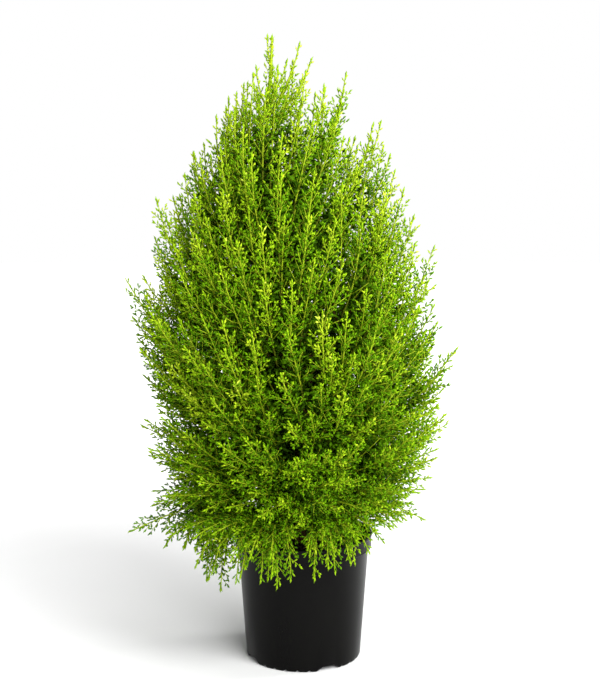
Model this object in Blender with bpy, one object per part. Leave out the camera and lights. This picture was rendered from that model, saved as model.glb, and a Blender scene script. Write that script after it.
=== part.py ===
"""Potted lemon cypress, grown as a loose pyramid, in a black nursery pot.

The plant is a slim trunk with a slight lean, ringed by tiers of boughs. Each bough
carries one mass of foliage: a stem, a core of packed inner twigs, and shoots that stand
out of it with sprays of scale leaves. All shoots belong to one family of curves, so one
rule places the boughs, the sides of the masses and every shoot in them.

Metres, +Z up. The origin is under the middle of the pot, and the front is towards -Y.
"""

import math
import random

import bmesh
import bpy
from mathutils import Matrix, Vector

# Pot and soil
POT_HEIGHT = 0.204
POT_RIM_RADIUS = 0.111
POT_FOOT_RADIUS = 0.0925
POT_WALL = 0.0024
POT_BAND_HEIGHT, POT_BAND_STEP, POT_BAND_FLARE = 0.023, 0.0042, 0.0015
POT_CORNER = 0.0025
POT_SIDES = 32
FLOOR_RISE = 0.008
FOOT_WIDTH = 0.0065
PAD_RADIUS = 0.022
DRAIN_COUNT, DRAIN_WIDTH, DRAIN_HEIGHT = 4, 0.031, 0.0076
FIRST_DRAIN = math.radians(26)
SOIL_EDGE, SOIL_TOP = 0.182, 0.187
SOIL_SHOULDER = 0.006

# Plant
TREE_TOP = 0.992
TRUNK_TOP = 0.868
TRUNK_SIDES, TRUNK_RING_SPACING = 10, 0.085
FIT_GAP = 0.0003

# (height, trunk radius): the root flare, then an even taper to the tip.
TRUNK_TAPER = (
    (SOIL_TOP + FIT_GAP, 0.0150),
    (0.196, 0.0112),
    (0.215, 0.0100),
    (0.45, 0.0074),
    (0.70, 0.0044),
    (TRUNK_TOP, 0.0018),
)

# The trunk leans towards -X up to a knee, comes back a little above it, and sways in Y.
KNEE_HEIGHT, LEAN_AT_KNEE = 0.76, -0.062
LEAN_BACK = 0.0135
SWAY = 0.006

# The crown's outline: (height of a shoot's tip, its mean reach, how far the ring of tips
# lies off the pot's axis along X).
CROWN_OUTLINE = (
    (0.13, 0.125, -0.035),
    (0.17, 0.150, -0.045),
    (0.22, 0.195, -0.045),
    (0.30, 0.222, -0.015),
    (0.40, 0.240, -0.010),
    (0.56, 0.238, -0.028),
    (0.68, 0.200, -0.024),
    (0.80, 0.155, -0.022),
    (0.88, 0.100, -0.022),
    (0.95, 0.045, -0.030),
    (TREE_TOP, 0.012, -0.045),
)

# How much higher the lowest tips are towards +X than towards -X.
SKIRT_LIFT = 0.090

# How a shoot curves: (height of its tip, height at the trunk, reach of its bend as a share of
# the tip's, height of its bend). Low shoots arch over the rim, and high ones turn upright.
SHOOT_CURVES = (
    (0.13, 0.222, 0.84, 0.302),
    (0.20, 0.228, 0.70, 0.285),
    (0.27, 0.250, 0.50, 0.268),
    (0.42, 0.300, 0.62, 0.335),
    (0.60, 0.360, 0.70, 0.455),
    (0.80, 0.500, 0.80, 0.600),
    (0.94, 0.720, 0.85, 0.800),
)

# Tiers of masses from the bottom up: (name, masses round the trunk, bearing of the first in
# degrees, heights of its shoots' tips, the same for its core, the stretch of each shoot's
# curve that the core fills, shoots on each mass).
TIERS = (
    ("skirt", 5, 18, (0.130, 0.260), (0.195, 0.248), (0.36, 0.62), 5),
    ("low", 5, -20, (0.260, 0.420), (0.280, 0.402), (0.30, 0.66), 5),
    ("middle", 5, 14, (0.420, 0.600), (0.438, 0.584), (0.26, 0.66), 5),
    ("upper", 4, -8, (0.600, 0.800), (0.618, 0.782), (0.24, 0.66), 6),
    ("top", 3, 40, (0.800, 0.935), (0.818, 0.912), (0.20, 0.66), 6),
)

# Shoots that stand out past the even outline: (tip's X, tip's height, bearing in degrees).
OUTSTANDING_SHOOTS = (
    (0.066, 0.929, 12),
    (0.118, 0.853, 352),
    (-0.134, 0.861, 196),
    (-0.177, 0.806, 150),
    (-0.221, 0.737, 205),
    (-0.277, 0.618, 186),
    (0.211, 0.655, 16),
    (0.232, 0.512, 344),
    (0.236, 0.371, 10),
    (-0.262, 0.365, 168),
    (-0.268, 0.226, 196),
    (0.190, 0.232, 352),
    (-0.126, 0.142, 217),
    (-0.040, 0.164, 255),
)

# Slim shoots of the leader: (X and Y of the tip from the trunk's line, height of the tip).
LEADER_FORK, LEADER_SIZE = 0.884, 0.5
LEADER_SHOOTS = (
    (0.060, -0.012, 0.947),
    (0.038, 0.016, 0.970),
    (-0.008, -0.034, 0.958),
    (-0.020, 0.030, 0.940),
)

# Boughs and shoots
BOUGH_RADII, BOUGH_SIDES, BOUGH_STEPS = (0.0036, 0.0026), 5, 3
STEM_RADIUS = 0.0024
BOUGH_STOP, STEM_ENTRY = 0.06, 0.05
SHOOT_FOOT, SHOOT_END = 0.5, (0.96, 1.04)
SIDE_INSET = 0.10
SPACE_GAP = 0.0012
POT_CLEARANCE = 0.004
EVEN_STEPS = (0.7548776662, 0.5698402910)
EVEN_START, EVEN_SHIFT = 0.5, 0.37

# Cores
CORE_CUTS = (2, 1, 2)
CORE_INSET = 0.004
CORE_DEPTH = 0.17
CORE_DOME, CORE_ROUGHNESS = 0.32, 0.86

# (share of a shoot, radius): a slim body of close twigs, from its foot in the core to its tip.
SHOOT_TAPER = (
    (0.00, 0.0040),
    (0.40, 0.0130),
    (0.74, 0.0085),
    (1.00, 0.0006),
)

# Sprays that stand out of it: long at the shoot's foot and short towards its tip.
SPRAY_SHARES = (0.34, 0.49, 0.64, 0.79)
SPRAY_LENGTHS, SPRAY_VARIES = (0.074, 0.032), (0.88, 1.12)
SPRAY_SUNK = 0.003
SPRAY_WIDTH, SPRAY_THICKNESS, SPRAY_WIDEST = 0.25, 0.13, 0.40
SPRAY_SPREAD = math.radians(38)
GOLDEN_ANGLE = math.radians(137.508)

SEARCH_STEPS = 400
SMOOTH_ANGLE = math.radians(35)

# Colours and roughness of the sub-parts
POT_FINISH = ((0.012, 0.012, 0.013), 0.42)
SOIL_FINISH = ((0.028, 0.017, 0.010), 0.95)
BARK_FINISH = ((0.115, 0.055, 0.026), 0.85)
FOLIAGE_FINISH = ((0.150, 0.300, 0.022), 0.55)


def between(ends, share):
    return ends[0] + (ends[1] - ends[0]) * share


def read_table(table, key, column):
    """A column's value at this key, straight between the table's rows."""
    if key <= table[0][0]:
        return table[0][column]
    for before, after in zip(table, table[1:]):
        if key <= after[0]:
            share = (key - before[0]) / (after[0] - before[0])
            return between((before[column], after[column]), share)
    return table[-1][column]


def ease(share):
    share = min(max(share, 0.0), 1.0)
    return share * share * (3 - 2 * share)


# The plant's lines: the trunk, the crown's outline and the family of shoots


def trunk_line(height):
    """The middle of the trunk at that height, and of the leading shoot above it."""
    rise = (height - SOIL_TOP) / (KNEE_HEIGHT - SOIL_TOP)
    over = (height - KNEE_HEIGHT) / (TREE_TOP - KNEE_HEIGHT)
    x = LEAN_AT_KNEE * ease(rise) + LEAN_BACK * ease(over)
    y = SWAY * math.sin(2 * math.pi * ease(rise))
    return Vector((x, y, height))


def crown_reach(bearing, tip_height):
    """How far the tips of that height stand from the trunk's line at that bearing."""
    off_trunk = read_table(CROWN_OUTLINE, tip_height, 2) - trunk_line(tip_height).x
    return read_table(CROWN_OUTLINE, tip_height, 1) + off_trunk * math.cos(bearing)


def shoot_profile(tip_height, bearing, along):
    """(reach, height) at that share of the curve from the trunk to the tip.

    A share over 1 runs straight on past the tip."""
    foot_height = read_table(SHOOT_CURVES, tip_height, 1)
    tip = Vector((crown_reach(bearing, tip_height), tip_height))
    foot = Vector((read_table(TRUNK_TAPER, foot_height, 1), foot_height))
    bend_reach = read_table(SHOOT_CURVES, tip_height, 2) * tip.x
    bend = Vector((bend_reach, read_table(SHOOT_CURVES, tip_height, 3)))
    if along > 1:
        return tip + 2 * (along - 1) * (tip - bend)
    return foot.lerp(bend, along).lerp(bend.lerp(tip, along), along)


def shoot_point(tip_height, bearing, along):
    """The same place as a point in space."""
    reach, height = shoot_profile(tip_height, bearing, along)
    return trunk_line(height) + reach * Vector((math.cos(bearing), math.sin(bearing), 0))


def shoot_ending_at(x, height, bearing):
    """(tip height, bearing, share) of the shoot that runs straight on to end at that X and height."""
    place = Vector(((x - trunk_line(height).x) / math.cos(bearing), height))
    found = []
    for step in range(SEARCH_STEPS):
        tip_height = between((TIERS[0][3][0], TIERS[-1][3][1]), step / SEARCH_STEPS)
        tip = shoot_profile(tip_height, bearing, 1)
        ahead = shoot_profile(tip_height, bearing, 2) - tip
        more = max((place - tip).dot(ahead) / ahead.length_squared, 0)
        found.append(((place - tip - more * ahead).length, tip_height, bearing, 1 + more))
    return min(found)[1:]


# The space that each mass keeps to


class Mass:
    """One mass of foliage, and its space: a range of bearings and of tip heights."""

    def __init__(self, tier_index, number):
        name, count, first, tips, core_tips, core_stretch, shoots = TIERS[tier_index]
        self.name = f"foliage_{name}_{number + 1}"
        self.bough_name = f"bough_{name}_{number + 1}"
        self.number = number
        self.half_turn = math.pi / count
        self.bearing = math.radians(first) + 2 * number * self.half_turn
        self.tips = tips
        self.core_tips = core_tips
        self.middle_tip = sum(core_tips) / 2
        self.core_stretch = core_stretch
        self.shoots = shoots
        self.open_below = tier_index == 0

    def off_middle(self, bearing):
        """How far a bearing is turned from the middle of this mass, between -pi and pi."""
        return (bearing - self.bearing + math.pi) % (2 * math.pi) - math.pi

    def covers(self, tip_height, bearing):
        inside = abs(self.off_middle(bearing)) < self.half_turn
        return inside and self.tips[0] <= tip_height < self.tips[1]

    def keeps(self, point):
        """True if a point is in this space, at least a gap away from its sides."""
        off = point - trunk_line(point.z)
        bearing = math.atan2(off.y, off.x)
        place = Vector((math.hypot(off.x, off.y), point.z))
        spare_turn = self.half_turn - abs(self.off_middle(bearing))
        if place.x * math.sin(min(spare_turn, math.pi / 2)) < SPACE_GAP:
            return False
        if height_over(self.tips[1], bearing, place) > -SPACE_GAP:
            return False
        return self.open_below or height_over(self.tips[0], bearing, place) > SPACE_GAP


def all_masses():
    return [Mass(tier, number) for tier in range(len(TIERS)) for number in range(TIERS[tier][1])]


def height_over(tip_height, bearing, place):
    """Distance of a (reach, height) place from the shoot of that tip height, positive above it."""
    shares = [step / 10 for step in range(11)] + [1.6]
    curve = [shoot_profile(tip_height, bearing, share) for share in shares]
    nearest = math.inf
    for start, end in zip(curve, curve[1:]):
        stretch = end - start
        share = min(max((place - start).dot(stretch) / stretch.length_squared, 0), 1)
        distance = (place - start - share * stretch).length
        if distance < abs(nearest):
            nearest = math.copysign(distance, stretch.cross(place - start))
    return nearest


def clears_pot(point):
    """True if a point is well clear of the pot's outside, or over its rim."""
    if point.z > POT_HEIGHT + POT_CLEARANCE:
        return True
    return math.hypot(point.x, point.y) > POT_RIM_RADIUS + POT_CLEARANCE


# Limbs, sprays and cores


def heading_frame(place, heading, roll=0.0):
    """A matrix at that place whose Z runs along the heading."""
    turn = heading.to_track_quat("Z", "Y").to_matrix().to_4x4()
    return Matrix.Translation(place) @ turn @ Matrix.Rotation(roll, 4, "Z")


def limb_mesh(path, radii, sides):
    """A tapering limb: a ring of edges that is extruded from point to point, then closed."""
    reaches = [after - before for before, after in zip(path, path[1:])]
    headings = [reaches[0].normalized()]
    headings += [(a.normalized() + b.normalized()).normalized() for a, b in zip(reaches, reaches[1:])]
    headings.append(reaches[-1].normalized())
    bm = bmesh.new()
    first = heading_frame(path[0], headings[0])
    bmesh.ops.create_circle(bm, segments=sides, radius=radii[0], matrix=first)
    edges = bm.edges[:]
    for i in range(1, len(path)):
        grown = bmesh.ops.extrude_edge_only(bm, edges=edges)["geom"]
        edges = [item for item in grown if isinstance(item, bmesh.types.BMEdge)]
        verts = [item for item in grown if isinstance(item, bmesh.types.BMVert)]
        turn = headings[i - 1].rotation_difference(headings[i]).to_matrix().to_4x4()
        taper = Matrix.Scale(radii[i] / radii[i - 1], 4)
        move = Matrix.Translation(path[i]) @ turn @ taper @ Matrix.Translation(-path[i - 1])
        bmesh.ops.transform(bm, matrix=move, verts=verts)
    bmesh.ops.holes_fill(bm, edges=bm.edges, sides=sides)
    return bm


def steps_between(ends, steps):
    return [between(ends, i / steps) for i in range(steps + 1)]


def spray_corners(root, heading, length, roll):
    """The five corners of a spray: its root, three round its widest part, and its tip."""
    across, through = length * SPRAY_WIDTH / 2, length * SPRAY_THICKNESS
    widest = length * SPRAY_WIDEST
    corners = (
        (0, 0, 0),
        (across, -through / 3, widest),
        (0, 2 * through / 3, widest),
        (-across, -through / 3, widest),
        (0, 0, length),
    )
    frame = heading_frame(root, heading, roll)
    return [frame @ Vector(corner) for corner in corners]


def spray_mesh(corners):
    """One spray as a keeled blade: two three-sided cones, base to base."""
    root, *ring, tip = corners
    bm = bmesh.new()
    bm.faces.new([bm.verts.new(corner) for corner in ring])
    edges = bm.edges[:]
    bmesh.ops.delete(bm, geom=bm.faces[:], context="FACES_ONLY")
    for point in (root, tip):
        grown = bmesh.ops.extrude_edge_only(bm, edges=edges)["geom"]
        verts = [item for item in grown if isinstance(item, bmesh.types.BMVert)]
        bmesh.ops.pointmerge(bm, verts=verts, merge_co=point)
    return bm


def core_mesh(mass):
    """The core: a block bent so that its sides follow the shoots, with a rough and domed outer end."""
    chance = random.Random(f"core of {mass.name}")
    bm = bmesh.new()
    bmesh.ops.create_cube(bm, size=1)
    for axis, cuts in enumerate(CORE_CUTS):
        along = [e for e in bm.edges if abs((e.verts[1].co - e.verts[0].co)[axis]) > 0.5]
        bmesh.ops.subdivide_edges(bm, edges=along, cuts=cuts)
    for vert in bm.verts:
        turn, layer, step = (share + 0.5 for share in vert.co)
        tip_height = between(mass.core_tips, layer)
        dome = 1 - CORE_DOME * ((2 * turn - 1) ** 2 + (2 * layer - 1) ** 2) / 2
        along = between(mass.core_stretch, step * dome * chance.uniform(CORE_ROUGHNESS, 1))
        half_turn = mass.half_turn - CORE_INSET / shoot_profile(tip_height, mass.bearing, along).x
        bearing = mass.bearing + half_turn * (2 * turn - 1)
        vert.co = shoot_point(tip_height, bearing, along)
    return bm


# What grows in a mass


def shoots_of(mass):
    """(tip height, bearing, share where it ends) of each shoot that this mass may carry."""
    chance = random.Random(mass.name)
    found = []
    for index in range(mass.shoots):
        rise, turn = (
            between((SIDE_INSET, 1 - SIDE_INSET), (EVEN_START + EVEN_SHIFT * mass.number + step * index) % 1)
            for step in EVEN_STEPS
        )
        bearing = mass.bearing + mass.half_turn * (2 * turn - 1)
        low, high = mass.tips
        if mass.open_below:
            low += SKIRT_LIFT * (1 + math.cos(bearing)) / 2
        found.append((between((low, high), rise), bearing, chance.uniform(*SHOOT_END)))
    for x, height, degrees in OUTSTANDING_SHOOTS:
        shoot = shoot_ending_at(x, height, math.radians(degrees))
        if mass.covers(*shoot[:2]):
            found.append(shoot)
    return found


def fanned_shoot(mass, tip_height, bearing):
    """The line of one shoot: from inside the core it fans out to its own tip."""
    start = between(mass.core_stretch, SHOOT_FOOT)
    bearing = mass.bearing + mass.off_middle(bearing)
    low, high = between(mass.core_tips, CORE_DEPTH), between(mass.core_tips, 1 - CORE_DEPTH)
    inside_tip = min(max(tip_height, low), high)
    inside_bearing = mass.bearing + (1 - CORE_DEPTH) * mass.off_middle(bearing)

    def point(along):
        fanned = ease((along - start) / (1 - start))
        return shoot_point(
            between((inside_tip, tip_height), fanned),
            between((inside_bearing, bearing), fanned),
            along,
        )

    return point


def shoot_meshes(path_point, ends, fits, chance, size=1.0):
    """One shoot's body, and the sprays beside it with their roots sunk in, where they fit."""
    path = [path_point(between(ends, share)) for share, radius in SHOOT_TAPER]
    if not all(fits(point) for point in path):
        return []
    meshes = [limb_mesh(path, [size * radius for share, radius in SHOOT_TAPER], 3)]
    roll = chance.uniform(0, 2 * math.pi)
    for i, share in enumerate(SPRAY_SHARES):
        step = max(j for j, row in enumerate(SHOOT_TAPER) if row[0] <= share)
        before, after = SHOOT_TAPER[step][0], SHOOT_TAPER[step + 1][0]
        root = path[step].lerp(path[step + 1], (share - before) / (after - before))
        ahead = (path[step + 1] - path[step]).normalized()
        side = heading_frame(Vector(), ahead, roll + i * GOLDEN_ANGLE) @ Vector((1, 0, 0))
        heading = ahead * math.cos(SPRAY_SPREAD) + side * math.sin(SPRAY_SPREAD)
        length = size * between(SPRAY_LENGTHS, share) * chance.uniform(*SPRAY_VARIES)
        corners = spray_corners(root - SPRAY_SUNK * heading, heading, length, chance.uniform(0, math.pi))
        if all(fits(corner) for corner in corners):
            meshes.append(spray_mesh(corners))
    return meshes


def bough_ends(mass):
    """Shares of the middle shoot's curve that the bough runs between, clear of the trunk."""
    foot = shoot_profile(mass.middle_tip, mass.bearing, 0).x
    start = 0.0
    while shoot_profile(mass.middle_tip, mass.bearing, start).x < foot + FIT_GAP + BOUGH_RADII[0]:
        start += 1 / SEARCH_STEPS
    return start, mass.core_stretch[0] - BOUGH_STOP


def make_bough(mass, material):
    shares = steps_between(bough_ends(mass), BOUGH_STEPS)
    path = [shoot_point(mass.middle_tip, mass.bearing, along) for along in shares]
    limb = limb_mesh(path, steps_between(BOUGH_RADII, BOUGH_STEPS), BOUGH_SIDES)
    shade_round(solid(mass.bough_name, limb, material))


def stem_mesh(mass):
    """The mass's stem, from its bough's tip into the core."""
    tip = shoot_point(mass.middle_tip, mass.bearing, bough_ends(mass)[1])
    inside = shoot_point(mass.middle_tip, mass.bearing, mass.core_stretch[0] + STEM_ENTRY)
    start = tip + (inside - tip).normalized() * 2 * FIT_GAP
    return limb_mesh([start, inside], (STEM_RADIUS, STEM_RADIUS), 3)


def make_mass(mass, material):
    chance = random.Random(f"sprays of {mass.name}")
    meshes = [stem_mesh(mass)]
    for tip_height, bearing, end in shoots_of(mass):
        meshes += shoot_meshes(
            fanned_shoot(mass, tip_height, bearing),
            (between(mass.core_stretch, SHOOT_FOOT), end),
            lambda point: mass.keeps(point) and clears_pot(point),
            chance,
        )
    joined(mass.name, core_mesh(mass), meshes, material)


def make_leader(material):
    """The crown's open top: one upright stem on the trunk's tip, with a few slim shoots."""
    chance = random.Random("leader")
    foot = trunk_line(TRUNK_TOP + FIT_GAP)
    stem = limb_mesh([foot, trunk_line(LEADER_FORK + 0.01)], (STEM_RADIUS, STEM_RADIUS), 3)
    meshes = shoot_meshes(trunk_line, (LEADER_FORK, TREE_TOP), lambda point: True, chance, LEADER_SIZE)
    fork = trunk_line(LEADER_FORK)
    for x, y, tip_height in LEADER_SHOOTS:
        tip = trunk_line(tip_height) + Vector((x, y, 0))
        meshes += shoot_meshes(
            lambda share: fork.lerp(tip, share), (0, 1), lambda point: True, chance, LEADER_SIZE
        )
    joined("foliage_leader", stem, meshes, material)


# Solids and materials


def material_of(name, finish):
    colour, roughness = finish
    material = bpy.data.materials.new(name)
    material.use_nodes = True
    shader = material.node_tree.nodes["Principled BSDF"]
    shader.inputs["Base Color"].default_value = (*colour, 1)
    shader.inputs["Roughness"].default_value = roughness
    shader.inputs["Metallic"].default_value = 0
    return material


def solid(name, bm, material):
    """An object of that name from the bmesh, with its faces pointing out."""
    bmesh.ops.recalc_face_normals(bm, faces=bm.faces)
    mesh = bpy.data.meshes.new(name)
    bm.to_mesh(mesh)
    bm.free()
    mesh.materials.append(material)
    obj = bpy.data.objects.new(name, mesh)
    bpy.context.scene.collection.objects.link(obj)
    return obj


def joined(name, body, meshes, material):
    """One solid: the body with all the other meshes fused on, by one union on a collection."""
    obj = solid(name, body, material)
    gathered = bpy.data.collections.new(f"sprays of {name}")
    bpy.context.scene.collection.children.link(gathered)
    for index, bm in enumerate(meshes):
        part = solid(f"{name} part {index}", bm, material)
        gathered.objects.link(part)
    union = obj.modifiers.new("join", "BOOLEAN")
    union.operation = "UNION"
    union.operand_type = "COLLECTION"
    union.collection = gathered
    graph = bpy.context.evaluated_depsgraph_get()
    fused = bpy.data.meshes.new_from_object(obj.evaluated_get(graph))
    obj.modifiers.clear()
    obj.data = fused
    for part in list(gathered.objects):
        bpy.data.objects.remove(part)
    bpy.data.collections.remove(gathered)


def shade_round(obj):
    obj.data.shade_smooth()
    obj.data.set_sharp_from_angle(angle=SMOOTH_ANGLE)


def turned(profile, sides):
    """A round solid from its section, a closed outline of (radius, height) beside the axis."""
    bm = bmesh.new()
    verts = [bm.verts.new((radius, 0, height)) for radius, height in profile]
    for start, end in zip(verts, verts[1:]):
        bm.edges.new((start, end))
    bmesh.ops.spin(
        bm,
        geom=bm.verts[:] + bm.edges[:],
        axis=(0, 0, 1),
        angle=2 * math.pi,
        steps=sides,
        use_merge=True,
    )
    bmesh.ops.remove_doubles(bm, verts=bm.verts, dist=1e-5)
    return bm


def wall_radius(height):
    """The pot's outer radius under its band, which tapers evenly from the foot up."""
    under_band = POT_RIM_RADIUS - POT_BAND_FLARE - POT_BAND_STEP
    return between((POT_FOOT_RADIUS, under_band), height / (POT_HEIGHT - POT_BAND_HEIGHT))


def drain_cutters():
    """Blocks that cut the drain notches through the ring that the pot stands on."""
    bm = bmesh.new()
    for i in range(DRAIN_COUNT):
        turn = Matrix.Rotation(FIRST_DRAIN + 2 * math.pi * i / DRAIN_COUNT, 4, "Z")
        place = Matrix.Translation((POT_FOOT_RADIUS, 0, 0))
        size = Matrix.Diagonal((4 * FOOT_WIDTH, DRAIN_WIDTH, 2 * DRAIN_HEIGHT, 1))
        bmesh.ops.create_cube(bm, size=1, matrix=turn @ place @ size)
    return bm


def make_pot(material):
    """The pot: one wall with a stepped band at its rim, a raised floor, a foot ring and a middle pad."""
    band_foot = POT_HEIGHT - POT_BAND_HEIGHT
    foot_inside = POT_FOOT_RADIUS - FOOT_WIDTH
    floor_top = FLOOR_RISE + POT_WALL
    outside = (
        (0, 0),
        (PAD_RADIUS, 0),
        (PAD_RADIUS + POT_CORNER, FLOOR_RISE),
        (foot_inside - POT_CORNER, FLOOR_RISE),
        (foot_inside, 0),
        (POT_FOOT_RADIUS - POT_CORNER, 0),
        (wall_radius(POT_CORNER), POT_CORNER),
        (wall_radius(band_foot), band_foot),
        (POT_RIM_RADIUS - POT_BAND_FLARE, band_foot),
        (POT_RIM_RADIUS, POT_HEIGHT - POT_CORNER / 2),
        (POT_RIM_RADIUS - POT_CORNER / 2, POT_HEIGHT),
    )
    inside = (
        (POT_RIM_RADIUS - 1.4 * POT_WALL, POT_HEIGHT),
        (POT_RIM_RADIUS - 1.6 * POT_WALL, POT_HEIGHT - 0.6 * POT_BAND_HEIGHT),
        (wall_radius(band_foot) - POT_WALL, band_foot - POT_BAND_STEP),
        (wall_radius(FLOOR_RISE) - POT_WALL, floor_top),
        (0, floor_top),
    )
    pot = solid("pot", turned(outside + inside, POT_SIDES), material)
    cutter = solid("drain_notches", drain_cutters(), material)
    cutter.hide_render = True
    cutter.display_type = "WIRE"
    cut = pot.modifiers.new("drains", "BOOLEAN")
    cut.operation = "DIFFERENCE"
    cut.object = cutter
    shade_round(pot)


def make_soil(material):
    """The potting soil, a filled body just clear of the pot's inside, slightly heaped."""
    floor = FLOOR_RISE + POT_WALL + FIT_GAP
    clear = POT_WALL + 2 * FIT_GAP
    shoulder = SOIL_EDGE - SOIL_SHOULDER
    profile = (
        (0, floor),
        (wall_radius(floor) - clear, floor),
        (wall_radius(shoulder) - clear, shoulder),
        (wall_radius(shoulder) - clear - SOIL_SHOULDER / 6, SOIL_EDGE),
        (POT_RIM_RADIUS / 2, SOIL_TOP),
        (0, SOIL_TOP),
    )
    shade_round(solid("soil", turned(profile, POT_SIDES), material))


def make_trunk(material):
    """The trunk: level rings up its leaning line, with a flat cut at the soil."""
    heights = []
    for (low, _), (high, _) in zip(TRUNK_TAPER, TRUNK_TAPER[1:]):
        count = math.ceil((high - low) / TRUNK_RING_SPACING)
        heights += steps_between((low, high), count)[:-1]
    heights.append(TRUNK_TOP)
    radii = [read_table(TRUNK_TAPER, height, 1) for height in heights]
    bm = bmesh.new()
    foot = Matrix.Translation(trunk_line(heights[0]))
    bmesh.ops.create_circle(bm, segments=TRUNK_SIDES, radius=radii[0], matrix=foot)
    edges = bm.edges[:]
    for i in range(1, len(heights)):
        grown = bmesh.ops.extrude_edge_only(bm, edges=edges)["geom"]
        edges = [item for item in grown if isinstance(item, bmesh.types.BMEdge)]
        verts = [item for item in grown if isinstance(item, bmesh.types.BMVert)]
        taper = Matrix.Scale(radii[i] / radii[i - 1], 4)
        move = Matrix.Translation(trunk_line(heights[i])) @ taper
        bmesh.ops.transform(bm, matrix=move @ Matrix.Translation(-trunk_line(heights[i - 1])), verts=verts)
    bmesh.ops.holes_fill(bm, edges=bm.edges, sides=TRUNK_SIDES)
    shade_round(solid("trunk", bm, material))


def main():
    for obj in list(bpy.data.objects):
        bpy.data.objects.remove(obj)
    make_pot(material_of("pot_plastic", POT_FINISH))
    make_soil(material_of("potting_soil", SOIL_FINISH))
    bark = material_of("bark", BARK_FINISH)
    make_trunk(bark)
    foliage = material_of("foliage", FOLIAGE_FINISH)
    for mass in all_masses():
        make_bough(mass, bark)
        make_mass(mass, foliage)
    make_leader(foliage)


main()
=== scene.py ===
# %% [markdown]
# # A lemon cypress in its pot
# The real plant is a young lemon cypress: an egg of soft, yellow-green plumes on a thin trunk, in a
# black plastic nursery pot, about a metre high in all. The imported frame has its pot, soil, trunk,
# boughs and masses of foliage as plain solids at their real size. Each step below makes the finer
# piece that stands in one of those places, and says why it is made that way.

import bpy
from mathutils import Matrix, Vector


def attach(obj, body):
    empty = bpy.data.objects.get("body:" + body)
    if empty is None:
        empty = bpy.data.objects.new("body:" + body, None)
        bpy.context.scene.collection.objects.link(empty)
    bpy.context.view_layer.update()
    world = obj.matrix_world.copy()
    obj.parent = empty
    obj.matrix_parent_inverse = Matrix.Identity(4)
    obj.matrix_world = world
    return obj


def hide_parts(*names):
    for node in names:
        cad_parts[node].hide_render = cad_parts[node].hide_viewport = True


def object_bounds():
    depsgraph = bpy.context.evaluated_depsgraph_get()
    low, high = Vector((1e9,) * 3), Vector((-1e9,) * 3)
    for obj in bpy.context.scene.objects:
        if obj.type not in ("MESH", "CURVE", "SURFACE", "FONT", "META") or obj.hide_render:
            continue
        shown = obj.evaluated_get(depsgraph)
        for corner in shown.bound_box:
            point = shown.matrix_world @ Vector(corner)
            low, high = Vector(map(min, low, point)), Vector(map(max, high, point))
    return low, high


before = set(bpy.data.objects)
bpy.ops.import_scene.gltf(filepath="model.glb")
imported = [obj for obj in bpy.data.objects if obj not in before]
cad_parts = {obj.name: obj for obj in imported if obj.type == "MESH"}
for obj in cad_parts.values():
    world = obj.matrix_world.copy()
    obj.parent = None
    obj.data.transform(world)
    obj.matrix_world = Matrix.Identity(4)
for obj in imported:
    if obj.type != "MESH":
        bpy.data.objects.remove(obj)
frame_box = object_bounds()
print(len(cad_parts), "nodes, from", tuple(frame_box[0]), "to", tuple(frame_box[1]))

# %% Libraries
import math
import random

import bmesh
import bpy
import numpy as np
from mathutils import Matrix, Vector, noise

# %% [markdown]
# ## Putting a piece in its place
# Every piece is an object at the origin whose place is in its mesh, as the frame's own nodes are.
# It rides on the plant's one body and stands for the nodes that it covers, which are then hidden.
# One function does all of that, so no step forgets any of it.

# %% Put a piece in its place
SMOOTH_ANGLE = math.radians(40)
SORTED_PLACES = 6


def put(name, mesh, nodes, materials):
    for material in materials:
        mesh.materials.append(material)
    piece = bpy.data.objects.new(name, mesh)
    bpy.context.scene.collection.objects.link(piece)
    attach(piece, "root")
    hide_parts(*nodes)
    print(f"{name}: {len(mesh.loops) - 2 * len(mesh.polygons)} triangles")
    return piece


def add_ring(bm, sides, radius, matrix):
    """A ring's corners and edges as they were made, where a set's order would vary between runs."""
    corners = bmesh.ops.create_circle(bm, segments=sides, radius=radius, matrix=matrix)["verts"]
    return corners, list(dict.fromkeys(edge for corner in corners for edge in corner.link_edges))


def sort_faces(bm):
    """Lists the faces by their places, as an extrusion lists them in another order each run."""
    in_order = sorted(bm.faces, key=lambda face: face.calc_center_median().to_tuple(SORTED_PLACES))
    for i, face in enumerate(in_order):
        face.index = i
    bm.faces.sort()


def smooth_mesh(name, bm):
    """A mesh from the bmesh: faces outwards, smooth but for its sharp corners."""
    bmesh.ops.recalc_face_normals(bm, faces=bm.faces)
    sort_faces(bm)
    mesh = bpy.data.meshes.new(name)
    bm.to_mesh(mesh)
    bm.free()
    mesh.shade_smooth()
    mesh.set_sharp_from_angle(angle=SMOOTH_ANGLE)
    return mesh


# %% [markdown]
# ## Finishes
# A finish is a Principled shader. What is the same all over a piece is set on the shader's own
# sockets. What varies, such as the cloudy gloss of plastic or the streaks of bark, comes from
# noise on the piece's own coordinates, so it stays with the piece from every side.

# %% Helpers for finishes
def finish(name, colour, roughness, specular=0.5):
    material = bpy.data.materials.new(name)
    material.use_nodes = True
    shader = material.node_tree.nodes["Principled BSDF"]
    shader.inputs["Base Color"].default_value = (*colour, 1)
    shader.inputs["Roughness"].default_value = roughness
    shader.inputs["Specular IOR Level"].default_value = specular
    return material


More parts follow.
